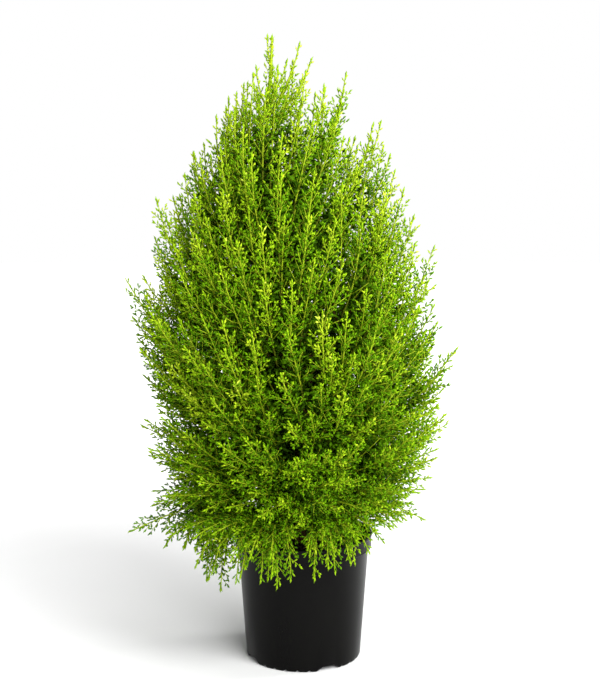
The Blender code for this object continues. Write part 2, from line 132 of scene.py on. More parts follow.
def clouds(material, scale, detail=3.0, stretch=(1, 1, 1)):
    """A noise from 0 to 1 on the piece's own coordinates, as a socket."""
    nodes, links = material.node_tree.nodes, material.node_tree.links
    mapping = nodes.new("ShaderNodeMapping")
    mapping.inputs["Scale"].default_value = stretch
    links.new(nodes.new("ShaderNodeTexCoord").outputs["Object"], mapping.inputs["Vector"])
    texture = nodes.new("ShaderNodeTexNoise")
    texture.inputs["Scale"].default_value = scale
    texture.inputs["Detail"].default_value = detail
    links.new(mapping.outputs["Vector"], texture.inputs["Vector"])
    return texture.outputs["Fac"]


def steer(material, socket_name, share, stops):
    """The shader's socket follows a share from 0 to 1 through stops of (share, colour or number)."""
    nodes, links = material.node_tree.nodes, material.node_tree.links
    ramp = nodes.new("ShaderNodeValToRGB")
    elements = ramp.color_ramp.elements
    while len(elements) < len(stops):
        elements.new(0.5)
    for element, (at, value) in zip(elements, stops):
        element.position = at
        element.color = (*value, 1) if isinstance(value, tuple) else (value, value, value, 1)
    links.new(share, ramp.inputs["Fac"])
    links.new(ramp.outputs["Color"], nodes["Principled BSDF"].inputs[socket_name])


def emboss(material, share, depth):
    """A fine relief in the shading, as deep as that where the share goes from 0 to 1."""
    nodes, links = material.node_tree.nodes, material.node_tree.links
    bump = nodes.new("ShaderNodeBump")
    bump.inputs["Distance"].default_value = depth
    links.new(share, bump.inputs["Height"])
    links.new(bump.outputs["Normal"], nodes["Principled BSDF"].inputs["Normal"])


# %% [markdown]
# ## The pot's section
# The pot is a thin shell of black plastic, made in one mould: a straight wall that widens upwards,
# a stepped band with a rolled lip, a raised floor and a ring that it stands on. Such a shape could
# be cut from a cone, but turning one section round the axis gives every edge its true round. The
# section is a wire, each of whose corners is rounded by a bevel on its vertex before the turning.

# %% The pot's sizes, as the frame has them
POT_HEIGHT, POT_RIM_RADIUS, POT_FOOT_RADIUS, POT_WALL = 0.204, 0.111, 0.0925, 0.0024
BAND_HEIGHT, BAND_STEP, BAND_FLARE = 0.023, 0.0042, 0.0015
FLOOR_RISE, FOOT_WIDTH, PAD_RADIUS = 0.008, 0.0065, 0.022
BAND_FOOT = POT_HEIGHT - BAND_HEIGHT
FLOOR_TOP = FLOOR_RISE + POT_WALL
BEAD, LIP = 0.0009, 0.0042
FOOT_ZONE = FLOOR_RISE + 0.0005


def between(ends, share):
    return ends[0] + (ends[1] - ends[0]) * share


def arc(foot, bend, tip, share):
    """A quadratic curve from foot to tip, drawn towards the bend."""
    return between((between((foot, bend), share), between((bend, tip), share)), share)


def wall_radius(height):
    under_band = POT_RIM_RADIUS - BAND_FLARE - BAND_STEP
    return between((POT_FOOT_RADIUS, under_band), height / BAND_FOOT)


foot_inside = POT_FOOT_RADIUS - FOOT_WIDTH
band_radius = POT_RIM_RADIUS - BAND_FLARE
POT_SECTION = (  # radius, height, rounding of that corner
    (0, 0, 0),
    (PAD_RADIUS, 0, 0.0010),
    (PAD_RADIUS + 0.0025, FLOOR_RISE, 0.0012),
    (foot_inside - 0.0025, FLOOR_RISE, 0.0012),
    (foot_inside, 0, 0.0012),
    (wall_radius(0), 0, 0.0030),
    (wall_radius(FOOT_ZONE), FOOT_ZONE, 0),
    (wall_radius(BAND_FOOT / 2), BAND_FOOT / 2, 0),
    (wall_radius(BAND_FOOT), BAND_FOOT, 0.0008),
    (band_radius, BAND_FOOT, 0.0005),
    (band_radius + BEAD, BAND_FOOT + BEAD, 0.0005),
    (band_radius + BEAD / 3, BAND_FOOT + 3 * BEAD, 0.0005),
    (POT_RIM_RADIUS - 2 * BEAD / 3, POT_HEIGHT - LIP - BEAD, 0.0005),
    (POT_RIM_RADIUS, POT_HEIGHT - LIP, 0.0005),
    (POT_RIM_RADIUS, POT_HEIGHT, 0.0012),
    (POT_RIM_RADIUS - 1.4 * POT_WALL, POT_HEIGHT, 0.0010),
    (POT_RIM_RADIUS - 1.6 * POT_WALL, POT_HEIGHT - 0.6 * BAND_HEIGHT, 0.0020),
    (wall_radius(BAND_FOOT) - POT_WALL, BAND_FOOT - BAND_STEP, 0.0020),
    (wall_radius(FLOOR_RISE) - POT_WALL, FLOOR_TOP, 0.0030),
    (0, FLOOR_TOP, 0),
)
print(f"the pot is {1000 * POT_HEIGHT:.0f} mm high and {2000 * POT_RIM_RADIUS:.0f} mm across its rim")

# %% Turn a section round the axis
ROUNDING_STEPS = 3


def turned(section, steps):
    bm = bmesh.new()
    corners = [bm.verts.new((radius, 0, height)) for radius, height, rounding in section]
    for start, end in zip(corners, corners[1:]):
        bm.edges.new((start, end))
    for corner, (radius, height, rounding) in zip(corners, section):
        if rounding:
            bmesh.ops.bevel(
                bm,
                geom=[corner],
                offset=rounding,
                offset_type="OFFSET",
                affect="VERTICES",
                segments=ROUNDING_STEPS,
                profile=0.5,
                material=-1,
            )
    bmesh.ops.spin(
        bm,
        geom=bm.verts[:] + bm.edges[:],
        axis=(0, 0, 1),
        angle=2 * math.pi,
        steps=steps,
        use_merge=True,
    )
    bmesh.ops.remove_doubles(bm, verts=bm.verts, dist=1e-5)
    return bm


# %% [markdown]
# ## The pot's foot
# The ring that the pot stands on isn't plain: four wide notches let water out, and between them
# the edge is scalloped. Cutting them with a Boolean would leave hard edges, while the mould's are
# soft. So the turned mesh is lifted near the floor by a smooth function of the bearing, which
# keeps it one closed skin.

# %% Lift the foot at its notches and scallops
DRAIN_COUNT, FIRST_DRAIN = 4, math.radians(26)
DRAIN_WIDTH, DRAIN_HEIGHT, DRAIN_SLOPE = 0.031, 0.0072, 0.011
SCALLOPS, SCALLOP_DEPTH = 30, 0.0030


def ease(share):
    share = np.clip(share, 0.0, 1.0)
    return share * share * (3 - 2 * share)


def foot_lift(bearing):
    apart = 2 * math.pi / DRAIN_COUNT
    off = abs((bearing - FIRST_DRAIN + apart / 2) % apart - apart / 2) * POT_FOOT_RADIUS
    notch = DRAIN_HEIGHT * (1 - ease((off - (DRAIN_WIDTH - DRAIN_SLOPE) / 2) / DRAIN_SLOPE))
    groove = max(math.cos(SCALLOPS * bearing), 0) ** 4
    return max(notch, SCALLOP_DEPTH * groove)


def scallop_foot(bm):
    for vert in bm.verts:
        radius = math.hypot(vert.co.x, vert.co.y)
        if vert.co.z < FOOT_ZONE and radius > foot_inside - 0.003:
            lift = foot_lift(math.atan2(vert.co.y, vert.co.x))
            vert.co.z = lift + vert.co.z * (FOOT_ZONE - lift) / FOOT_ZONE


# %% [markdown]
# ## The pot's plastic
# Moulded black plastic isn't quite black and isn't evenly glossy: it has a faint cloudiness from
# handling, drawn out up and down, and a very fine grain from the mould. Base colour and roughness
# follow a stretched noise, and a fine noise gives the grain.

# %% Make the pot
POT_STEPS = 288

pot_plastic = finish("black_pot_plastic", (0.0018, 0.0017, 0.0016), 0.31, specular=0.07)
handling = clouds(pot_plastic, 22, detail=4, stretch=(1, 1, 0.35))
PLASTIC_TONES = ((0.3, (0.0013, 0.0012, 0.0011)), (0.7, (0.0022, 0.0021, 0.0018)))
steer(pot_plastic, "Roughness", handling, ((0.3, 0.26), (0.7, 0.36)))
steer(pot_plastic, "Base Color", handling, PLASTIC_TONES)
emboss(pot_plastic, clouds(pot_plastic, 1400, detail=1), 0.00004)

bm = turned(POT_SECTION, POT_STEPS)
scallop_foot(bm)
put("grower_pot", smooth_mesh("grower_pot", bm), ["pot"], [pot_plastic])

# %% [markdown]
# ## The potting soil
# Under the skirt of foliage the pot is filled with dark potting soil: peat with bits of bark. A
# flat disc would look like card, and a body of loose grains would cost millions of faces. So the
# soil is a turned body with a rough top, and only the grains that show lie on it.

# %% The soil's body
SOIL_EDGE, SOIL_TOP, SOIL_SHOULDER = 0.182, 0.187, 0.006
FIT_GAP = 0.0003
SOIL_RINGS, SOIL_STEPS = 22, 120
SOIL_ROUGHNESS = 0.0022
soil_radius = wall_radius(SOIL_EDGE - SOIL_SHOULDER) - POT_WALL - 2 * FIT_GAP


def soil_height(radius):
    """The smooth height of the soil: level in the middle and lower towards the pot's wall."""
    return float(np.interp(radius, (0, POT_RIM_RADIUS / 2, soil_radius), (SOIL_TOP, SOIL_TOP, SOIL_EDGE)))


def soil_section():
    floor = FLOOR_TOP + FIT_GAP
    clear = POT_WALL + 2 * FIT_GAP
    section = [(0, floor, 0), (wall_radius(floor) - clear, floor, 0)]
    section.append((soil_radius, SOIL_EDGE - SOIL_SHOULDER, 0))
    for ring in range(SOIL_RINGS + 1):
        radius = (soil_radius - 0.001) * (1 - ring / SOIL_RINGS)
        section.append((radius, soil_height(radius), 0))
    return section


bm = turned(soil_section(), SOIL_STEPS)
for vert in bm.verts:
    if vert.co.z > SOIL_EDGE - SOIL_SHOULDER / 2:
        coarse = noise.fractal(70 * vert.co, 0.6, 2.1, 4)
        vert.co.z += SOIL_ROUGHNESS * coarse - SOIL_ROUGHNESS / 2

peat = finish("peat", (0.020, 0.012, 0.008), 0.95, specular=0.2)
PEAT_TONES = ((0.35, (0.010, 0.006, 0.004)), (0.7, (0.045, 0.027, 0.016)))
steer(peat, "Base Color", clouds(peat, 420, detail=5), PEAT_TONES)
emboss(peat, clouds(peat, 900, detail=4), 0.0006)
put("soil_bed", smooth_mesh("soil_bed", bm), ["soil"], [peat])

# %% [markdown]
# ## Many small things in one mesh
# Bits of bark, leaves and twigs come in hundreds and thousands. As separate objects they would be
# slow, and particles are lost when the model is exported. So one small shape is modelled, its
# corners become an array, and numpy turns, scales and places all its copies at once. This function
# writes such arrays as one mesh with a material number on every face.

# %% One mesh from arrays
def unit(vectors):
    return vectors / np.linalg.norm(vectors, axis=-1, keepdims=True)


def run_along(lines):
    """How far each point of a line, or of many, is from its start."""
    steps = np.linalg.norm(np.diff(lines, axis=-2), axis=-1)
    return np.concatenate([np.zeros((*steps.shape[:-1], 1)), np.cumsum(steps, axis=-1)], -1)


def array_mesh(name, batches):
    """One mesh from batches of (corner places, faces as corner numbers, material of each face)."""
    places, loops, sizes, tones = [], [], [], []
    count = 0
    for corners, faces, tone in batches:
        corners = corners.reshape(-1, 3)
        places.append(corners)
        loops.append((faces + count).ravel())
        sizes.append(np.full(len(faces), faces.shape[1]))
        tones.append(tone)
        count += len(corners)
    places, loops, sizes, tones = (np.concatenate(parts) for parts in (places, loops, sizes, tones))
    mesh = bpy.data.meshes.new(name)
    mesh.vertices.add(len(places))
    mesh.vertices.foreach_set("co", places.astype(np.float32).ravel())
    mesh.loops.add(len(loops))
    mesh.loops.foreach_set("vertex_index", loops.astype(np.int32))
    mesh.polygons.add(len(sizes))
    mesh.polygons.foreach_set("loop_start", (np.cumsum(sizes) - sizes).astype(np.int32))
    mesh.polygons.foreach_set("material_index", tones.astype(np.int32))
    mesh.update(calc_edges=True)
    return mesh


def shape_arrays(bm):
    """The corners and triangles of a small shape, for copying."""
    bmesh.ops.triangulate(bm, faces=bm.faces)
    sort_faces(bm)
    bm.verts.index_update()
    corners = np.array([vert.co for vert in bm.verts])
    faces = np.array([[vert.index for vert in face.verts] for face in bm.faces])
    bm.free()
    return corners, faces


def copies(corners, faces, tones):
    """A batch for array_mesh from the corners of every copy and one tone for each."""
    count, size = corners.shape[:2]
    numbers = faces[None] + size * np.arange(count)[:, None, None]
    return corners, numbers.reshape(-1, faces.shape[1]), np.repeat(tones, len(faces))


# %% Bits of bark and crumbs on the soil
BITS = 1500
BIT_SIZES = ((0.0030, 0.0016, 0.0010), (0.0075, 0.0040, 0.0018))
BIT_VARIES, BIT_ROUGHNESS, BIT_MIX = (0.7, 1.3), (0.75, 1.2), (0.35, 0.5, 0.15)
ROUND_TRUNK, BIT_MARGIN = 0.014, 0.019
dice = np.random.default_rng(7)


def random_turns(count):
    """That many random rotations, as 3 by 3 matrices."""
    quaternions = unit(dice.normal(size=(count, 4)))
    w, x, y, z = quaternions.T
    rows = (
        (1 - 2 * (y * y + z * z), 2 * (x * y - z * w), 2 * (x * z + y * w)),
        (2 * (x * y + z * w), 1 - 2 * (x * x + z * z), 2 * (y * z - x * w)),
        (2 * (x * z - y * w), 2 * (y * z + x * w), 1 - 2 * (x * x + y * y)),
    )
    return np.moveaxis(np.array(rows), -1, 0)


bm = bmesh.new()
bmesh.ops.create_icosphere(bm, subdivisions=1, radius=0.5)
bit_corners, bit_faces = shape_arrays(bm)
bit_radius = ROUND_TRUNK + (soil_radius - BIT_MARGIN) * np.sqrt(dice.random(BITS))
bit_bearing = 2 * math.pi * dice.random(BITS)
bit_heights = [soil_height(radius) for radius in bit_radius]
bit_places = np.stack([bit_radius * np.cos(bit_bearing), bit_radius * np.sin(bit_bearing), bit_heights], -1)
bit_sizes = between(np.array(BIT_SIZES), dice.random((BITS, 1)) ** 3) * dice.uniform(*BIT_VARIES, (BITS, 3))
rough = dice.uniform(*BIT_ROUGHNESS, (BITS, len(bit_corners), 1))
bits = np.einsum("nij,nvj->nvi", random_turns(BITS), rough * bit_corners * bit_sizes[:, None])

bark_bit = finish("bark_bits", (0.070, 0.034, 0.017), 0.85, specular=0.3)
dark_crumb = finish("peat_crumbs", (0.016, 0.010, 0.007), 0.95, specular=0.2)
grey_crumb = finish("dry_crumbs", (0.085, 0.060, 0.040), 0.95, specular=0.2)
for bit_finish in (bark_bit, dark_crumb, grey_crumb):
    emboss(bit_finish, clouds(bit_finish, 1500, detail=2), 0.0002)
bit_mesh = array_mesh(
    "soil_bits",
    [copies(bits + bit_places[:, None], bit_faces, dice.choice(3, BITS, p=BIT_MIX))],
)
put("soil_bits", bit_mesh, [], [bark_bit, dark_crumb, grey_crumb])

# %% [markdown]
# ## The plant's lines
# The frame was grown by a rule, and the finer plant follows the same one. The trunk leans to a
# knee and back. The crown's outline gives how far the tips reach at each height. A shoot leaves
# the trunk, bends, and ends at a tip, on one quadratic curve: low shoots arch over the pot's rim,
# and high ones turn upright. Any point of the crown is then (height of the tip, bearing, share of
# the curve). The functions take numbers or whole arrays of them.

# %% Tables of the plant's lines
TREE_TOP, TRUNK_TOP = 0.992, 0.868
TRUNK_TAPER = (  # height, radius
    (SOIL_TOP + FIT_GAP, 0.0150),
    (0.196, 0.0112),
    (0.215, 0.0100),
    (0.45, 0.0074),
    (0.70, 0.0044),
    (TRUNK_TOP, 0.0018),
)
KNEE_HEIGHT, LEAN_AT_KNEE = 0.76, -0.062
LEAN_BACK, SWAY = 0.0135, 0.006
CROWN_OUTLINE = (  # height, reach of the tips, X of their middle
    (0.13, 0.125, -0.035),
    (0.17, 0.150, -0.045),
    (0.22, 0.195, -0.045),
    (0.30, 0.222, -0.015),
    (0.40, 0.240, -0.010),
    (0.56, 0.238, -0.028),
    (0.68, 0.200, -0.024),
    (0.80, 0.155, -0.022),
    (0.88, 0.100, -0.022),
    (0.95, 0.045, -0.030),
    (TREE_TOP, 0.012, -0.045),
)
SHOOT_CURVES = (  # height of the tip, height at the trunk, reach and height of the bend
    (0.13, 0.222, 0.84, 0.302),
    (0.20, 0.228, 0.70, 0.285),
    (0.27, 0.250, 0.50, 0.268),
    (0.42, 0.300, 0.62, 0.335),
    (0.60, 0.360, 0.70, 0.455),
    (0.80, 0.500, 0.80, 0.600),
    (0.94, 0.720, 0.85, 0.800),
)


def read_table(table, key, column):
    rows = np.array(table)
    return np.interp(key, rows[:, 0], rows[:, column])


def trunk_line(height):
    rise = ease((height - SOIL_TOP) / (KNEE_HEIGHT - SOIL_TOP))
    over = ease((height - KNEE_HEIGHT) / (TREE_TOP - KNEE_HEIGHT))
    x = LEAN_AT_KNEE * rise + LEAN_BACK * over
    return np.stack([x, SWAY * np.sin(2 * np.pi * rise), height + 0 * rise], -1)


def crown_reach(bearing, tip_height):
    off_trunk = read_table(CROWN_OUTLINE, tip_height, 2) - trunk_line(tip_height)[..., 0]
    return read_table(CROWN_OUTLINE, tip_height, 1) + off_trunk * np.cos(bearing)


def shoot_profile(tip_height, bearing, along):
    """(reach, height) at that share of the curve. A share over 1 runs straight on past the tip."""
    foot_height = read_table(SHOOT_CURVES, tip_height, 1)
    tip = np.stack([crown_reach(bearing, tip_height), tip_height + 0 * foot_height], -1)
    foot = np.stack([read_table(TRUNK_TAPER, foot_height, 1), foot_height], -1)
    bend_reach = read_table(SHOOT_CURVES, tip_height, 2) * tip[..., 0]
    bend = np.stack([bend_reach, read_table(SHOOT_CURVES, tip_height, 3)], -1)
    share = np.minimum(along, 1)[..., None]
    past_tip = np.maximum(along, 1)[..., None] - 1
    return arc(foot, bend, tip, share) + 2 * past_tip * (tip - bend)


def shoot_point(tip_height, bearing, along):
    profile = shoot_profile(tip_height, bearing, along)
    out = np.stack([np.cos(bearing), np.sin(bearing), 0 * np.cos(bearing)], -1)
    return trunk_line(profile[..., 1]) + profile[..., :1] * out


print("the crown reaches", round(float(crown_reach(0, 0.56)), 3), "m towards +X at 0.56 m")

# %% [markdown]
# ## The masses and their shoots
# The crown's masses share out the tips: five tiers, each split evenly round the trunk. Inside a
# mass the frame deals five or six tips by a sequence that fills a square evenly, and a few
# bold ones stand out past the others. Those shoots stand here exactly where the frame has them. A
# few at the crown's edges and a fringe that hangs over the front of the pot's rim have places of
# their own. A real crown closes every gap that has light, so each further shoot goes where the
# widest gap between the tips is left.

# %% The masses
TIERS = (  # name, masses, first bearing, heights of the tips and of the core's, stretch of the core
    ("skirt", 5, 18, (0.130, 0.260), (0.195, 0.248), (0.36, 0.62), 5, 16),
    ("low", 5, -20, (0.260, 0.420), (0.280, 0.402), (0.30, 0.66), 5, 25),
    ("middle", 5, 14, (0.420, 0.600), (0.438, 0.584), (0.26, 0.66), 5, 26),
    ("upper", 4, -8, (0.600, 0.800), (0.618, 0.782), (0.24, 0.66), 6, 25),
    ("top", 3, 40, (0.800, 0.935), (0.818, 0.912), (0.20, 0.66), 6, 17),
)  # and last the shoots that the sequence deals to a mass, and those with the further ones
OUTSTANDING_SHOOTS = (  # X of the tip, its height, bearing in degrees
    (0.066, 0.929, 12),
    (0.118, 0.853, 352),
    (-0.134, 0.861, 196),
    (-0.177, 0.806, 150),
    (-0.221, 0.737, 205),
    (-0.277, 0.618, 186),
    (0.211, 0.655, 16),
    (0.232, 0.512, 344),
    (0.236, 0.371, 10),
    (-0.262, 0.365, 168),
    (-0.268, 0.226, 196),
    (0.190, 0.232, 352),
    (-0.126, 0.142, 217),
    (-0.040, 0.164, 255),
)
EDGE_SHOOTS = (  # X of the tip, its height, bearing: these close notches in the outline
    (0.128, 0.815, 22),
    (0.132, 0.803, 354),
    (0.143, 0.778, 8),
    (0.149, 0.752, 340),
    (-0.234, 0.338, 186),
    (-0.232, 0.308, 172),
    (-0.226, 0.277, 189),
)
HANGING_SHOOTS = (  # height of the tip, bearing in degrees, share where it ends: over the rim
    (0.158, 214, 1.00),
    (0.178, 223, 1.00),
    (0.163, 233, 0.99),
    (0.186, 240, 1.02),
    (0.172, 251, 0.98),
    (0.192, 255, 1.03),
    (0.176, 263, 1.00),
    (0.196, 270, 1.00),
    (0.180, 276, 1.02),
    (0.188, 284, 0.98),
    (0.182, 289, 1.00),
    (0.198, 297, 1.01),
    (0.190, 303, 1.00),
    (0.205, 311, 1.00),
)
BOUGH_RADII, BOUGH_STOP = (0.0036, 0.0026), 0.06
SHOOT_FOOT, CORE_DEPTH = 0.5, 0.17


class Mass:
    """One mass of foliage: a range of bearings and of tip heights, and the bough that carries it."""

    def __init__(self, tier, number):
        name, count, first, tips, core_tips, core_stretch, framed, grown = TIERS[tier]
        self.tier = name
        self.node = f"foliage_{name}_{number + 1}"
        self.bough_node = f"bough_{name}_{number + 1}"
        self.number = number
        self.half_turn = math.pi / count
        self.bearing = math.radians(first) + 2 * number * self.half_turn
        self.tips = tips
        self.core_tips = core_tips
        self.middle_tip = sum(core_tips) / 2
        self.stretch = core_stretch
        self.foot = between(core_stretch, SHOOT_FOOT)
        self.framed = framed
        self.grown = grown

    def off_middle(self, bearing):
        return (bearing - self.bearing + math.pi) % (2 * math.pi) - math.pi

    def covers(self, tip_height, bearing):
        inside = abs(self.off_middle(bearing)) < self.half_turn
        return inside and self.tips[0] <= tip_height < self.tips[1]


masses = [Mass(tier, number) for tier in range(len(TIERS)) for number in range(TIERS[tier][1])]
print(len(masses), "masses")

# %% The shoots that the frame has
EVEN_STEPS = (0.7548776662, 0.5698402910)
EVEN_START, EVEN_SHIFT = 0.5, 0.37
FRAMED_INSET = 0.10
FRAMED_END = (0.96, 1.04)
SKIRT_LIFT = 0.090
SEARCH_STEPS = 400


def lowest_tip(mass, bearing):
    """The skirt hangs lower on the left than on the right."""
    lift = SKIRT_LIFT * (1 + np.cos(bearing)) / 2 if mass.tier == "skirt" else 0
    return mass.tips[0] + lift


def shoot_ending_at(x, height, bearing):
    """(tip height, bearing, share) of the shoot that runs straight on to end at that X and height."""
    place = np.array([(x - trunk_line(height)[0]) / math.cos(bearing), height])
    tips = between((TIERS[0][3][0], TIERS[-1][3][1]), np.arange(SEARCH_STEPS) / SEARCH_STEPS)
    tip = shoot_profile(tips, bearing, np.array(1.0))
    ahead = shoot_profile(tips, bearing, np.array(2.0)) - tip
    more = np.maximum(((place - tip) * ahead).sum(-1) / (ahead * ahead).sum(-1), 0)
    nearest = np.linalg.norm(place - tip - more[:, None] * ahead, axis=-1).argmin()
    return tips[nearest], bearing, 1 + more[nearest]


def framed_shoots(mass):
    """(tip height, bearing, share where it ends) of the shoots that have their fixed places."""
    chance = random.Random(mass.node)
    found = []
    start = EVEN_START + EVEN_SHIFT * mass.number
    for index in range(mass.framed):
        shares = [(start + step * index) % 1 for step in EVEN_STEPS]
        rise, turn = between((FRAMED_INSET, 1 - FRAMED_INSET), np.array(shares))
        bearing = mass.bearing + mass.half_turn * (2 * turn - 1)
        tip = between((lowest_tip(mass, bearing), mass.tips[1]), rise)
        found.append((tip, bearing, chance.uniform(*FRAMED_END)))
    for x, height, degrees in OUTSTANDING_SHOOTS + EDGE_SHOOTS:
        shoot = shoot_ending_at(x, height, math.radians(degrees))
        if mass.covers(*shoot[:2]):
            found.append(shoot)
    for height, degrees, end in HANGING_SHOOTS:
        if mass.covers(height, math.radians(degrees)):
            found.append((height, math.radians(degrees), end))
    return found


# %% Further shoots in the widest gaps
GROWN_INSET, GROWN_END = 0.02, (0.88, 1.01)
CANDIDATES, UPRIGHT_WEIGHT = 80, 0.6


def tip_place(tip_height, bearing, end):
    """Where a shoot ends, with heights weighed less, since a plume is longer than wide."""
    return shoot_point(tip_height, bearing, end) * (1, 1, UPRIGHT_WEIGHT)


def fill_gaps(shoots, chance):
    """Give each mass its number of shoots, one at a time, each in the widest gap left."""
    taken = [tip_place(*np.array(shoot)) for mass in masses for shoot in shoots[mass.node]]
    wanted = [mass for mass in masses for turn in range(mass.grown - mass.framed)]
    chance.shuffle(wanted)
    for mass in wanted:
        rise, turn = between((GROWN_INSET, 1 - GROWN_INSET), chance.random((2, CANDIDATES)))
        bearing = mass.bearing + mass.half_turn * (2 * turn - 1)
        tip = between((lowest_tip(mass, bearing), mass.tips[1]), rise)
        end = chance.uniform(*GROWN_END, CANDIDATES)
        found = tip_place(tip, bearing, end)
        gaps = np.linalg.norm(found[:, None] - np.array(taken)[None], axis=-1).min(axis=1)
        best = gaps.argmax()
        taken.append(found[best])
        shoots[mass.node].append((tip[best], bearing[best], end[best]))


shoots = {mass.node: framed_shoots(mass) for mass in masses}
fill_gaps(shoots, np.random.default_rng(3))
print(sum(len(found) for found in shoots.values()), "shoots")

# %% [markdown]
# ## From the bough to the tips
# A real bough doesn't end where the frame's does. It runs on into its mass, and the shoots leave
# it one after another, part from each other, and fan out to their tips. The outer half of each
# line is the frame's own, and a smooth blend leads back from it to the bough.

# %% The lines of boughs and shoots
PATH_POINTS = 14
LEAVE_STEP = 0.6180339887


def bough_line(mass, steps):
    """The bough from inside the trunk to the place in its mass where the last shoots leave it."""
    line = shoot_point(np.array(mass.middle_tip), np.array(mass.bearing), np.linspace(0, mass.foot, steps))
    return np.concatenate([trunk_line(line[0, 2])[None], line])


def shoot_line(mass, index, tip_height, bearing, end):
    leave = between((mass.stretch[0] - BOUGH_STOP, mass.foot - 0.03), index * LEAVE_STEP % 1)
    along = between((leave, end), np.linspace(0, 1, PATH_POINTS))
    low, high = between(mass.core_tips, CORE_DEPTH), between(mass.core_tips, 1 - CORE_DEPTH)
    inside_tip = min(max(tip_height, low), high)
    off = mass.off_middle(bearing)
    parted = ease((along - leave) / (mass.foot - leave))
    fanned = ease((along - mass.foot) / (1 - mass.foot))
    tip = between((between((mass.middle_tip, inside_tip), parted), tip_height), fanned)
    turn = between((parted * (1 - CORE_DEPTH) * off, off), fanned)
    return shoot_point(tip, mass.bearing + turn, along)


# %% [markdown]
# ## Bark
# The trunk of a young cypress is cinnamon brown, with shallow furrows that run up it. A noise in
# the shading would leave its outline smooth as a pipe, so the furrows are real: each limb is a
# ring of edges that is extruded along its line, and then every corner moves in or out by a noise
# that is drawn out along the limb. Boughs start inside the trunk, with a thick collar.

# %% Limbs with the bark's relief
TRUNK_SIDES, TRUNK_RING_GAP = 44, 0.0045
BOUGH_SIDES, BOUGH_RINGS = 9, 26
FURROW_DEPTH, FURROWS_ROUND, FURROWS_ALONG = 0.10, 3.2, 42.0
RIDGE_SHARP, GRAIN_SHARE, GRAIN_SCALE, LIMB_SHIFT = 1.6, 0.5, 3.1, 31
COLLAR_LENGTH, COLLAR_SWELL = 0.012, 1.9
MOST_OF_TRUNK = 0.9


def add_limb(bm, line, radii, sides):
    """A closed limb along the line, whose rings of corners are moved by the bark's furrows."""
    line = [Vector(point) for point in line]
    steps = [after - before for before, after in zip(line, line[1:])]
    either_side = zip(steps[:1] + steps, steps + steps[-1:])
    headings = [(before.normalized() + after.normalized()) / 2 for before, after in either_side]
    start = Matrix.Translation(line[0]) @ headings[0].to_track_quat("Z", "Y").to_matrix().to_4x4()
    ring, edges = add_ring(bm, sides, radii[0], start)
    bmesh.ops.edgeloop_fill(bm, edges=edges)
    rings = [ring]
    for i in range(1, len(line)):
        grown = bmesh.ops.extrude_edge_only(bm, edges=edges)["geom"]
        edges = [item for item in grown if isinstance(item, bmesh.types.BMEdge)]
        rings.append([item for item in grown if isinstance(item, bmesh.types.BMVert)])
        turn = headings[i - 1].rotation_difference(headings[i]).to_matrix().to_4x4()
        taper = Matrix.Scale(radii[i] / radii[i - 1], 4)
        move = Matrix.Translation(line[i]) @ turn @ taper @ Matrix.Translation(-line[i - 1])
        bmesh.ops.transform(bm, matrix=move, verts=rings[-1])
    bmesh.ops.edgeloop_fill(bm, edges=edges)
    run = 0.0
    for i, ring in enumerate(rings):
        run += steps[i - 1].length if i else 0
        for vert in ring:
            out = vert.co - line[i]
            shift = Vector((run * FURROWS_ALONG, line[0].z * LIMB_SHIFT, 0))
            spot = FURROWS_ROUND * out.normalized() + shift
            ridge = 0.5 - RIDGE_SHARP * abs(noise.noise(spot))
            ridge += GRAIN_SHARE * noise.noise(GRAIN_SCALE * spot)
            vert.co = line[i] + out * (1 + FURROW_DEPTH * ridge)


def trunk_heights():
    count = math.ceil((TRUNK_TOP - TRUNK_TAPER[0][0]) / TRUNK_RING_GAP)
    return np.linspace(TRUNK_TAPER[0][0], TRUNK_TOP, count)


bm = bmesh.new()
heights = trunk_heights()
add_limb(bm, trunk_line(heights), read_table(TRUNK_TAPER, heights, 1), TRUNK_SIDES)
for mass in masses:
    line = bough_line(mass, BOUGH_RINGS)
    run = run_along(line)
    radii = between(BOUGH_RADII, run / run[-1])
    radii = radii * (1 + (COLLAR_SWELL - 1) * (1 - ease(run / COLLAR_LENGTH)))
    trunk_radius = read_table(TRUNK_TAPER, line[0, 2], 1)
    add_limb(bm, line, np.minimum(radii, MOST_OF_TRUNK * trunk_radius), BOUGH_SIDES)

bark = finish("cypress_bark", (0.150, 0.070, 0.030), 0.85, specular=0.3)
streaks = clouds(bark, 260, detail=5, stretch=(1, 1, 0.14))
BARK_TONES = ((0.32, (0.050, 0.022, 0.009)), (0.52, (0.120, 0.055, 0.022)), (0.72, (0.210, 0.110, 0.052)))
steer(bark, "Base Color", streaks, BARK_TONES)
emboss(bark, streaks, 0.0008)
bark_nodes = ["trunk"] + [mass.bough_node for mass in masses]
put("trunk_and_boughs", smooth_mesh("trunk_and_boughs", bm), bark_nodes, [bark])

# %% [markdown]
# ## Stems as tubes
# Every shoot and side shoot has its own thin stem. They are alike but for their lines, so one
# function makes all of a mass's stems at once, as tapering tubes with a cap at each end.

# %% Tubes along many lines
STEM_RADII = ((0.0, 0.0006), (0.03, 0.0009), (0.08, 0.0011), (0.15, 0.0015), (0.30, 0.0020))
WOODY_FROM, OLIVE_FROM = 0.19, 0.12
STEM_SIDES, SIDE_STEM_SIDES = 4, 3
UPRIGHT = 0.8


def square_to(headings, whole):
    """For each heading two directions square to it, which turn little along a line as a whole."""
    upright = abs(whole[..., 2:]) > UPRIGHT
    reference = np.where(upright, np.array([1.0, 0, 0]), np.array([0, 0, 1.0]))
    across = unit(np.cross(np.broadcast_to(reference, headings.shape), headings))
    return across, np.cross(headings, across)


def sideways(headings, whole, roll):
    """For each heading the direction square to it at that roll about it."""
    across, through = square_to(headings, whole)
    return across * np.cos(roll) + through * np.sin(roll)


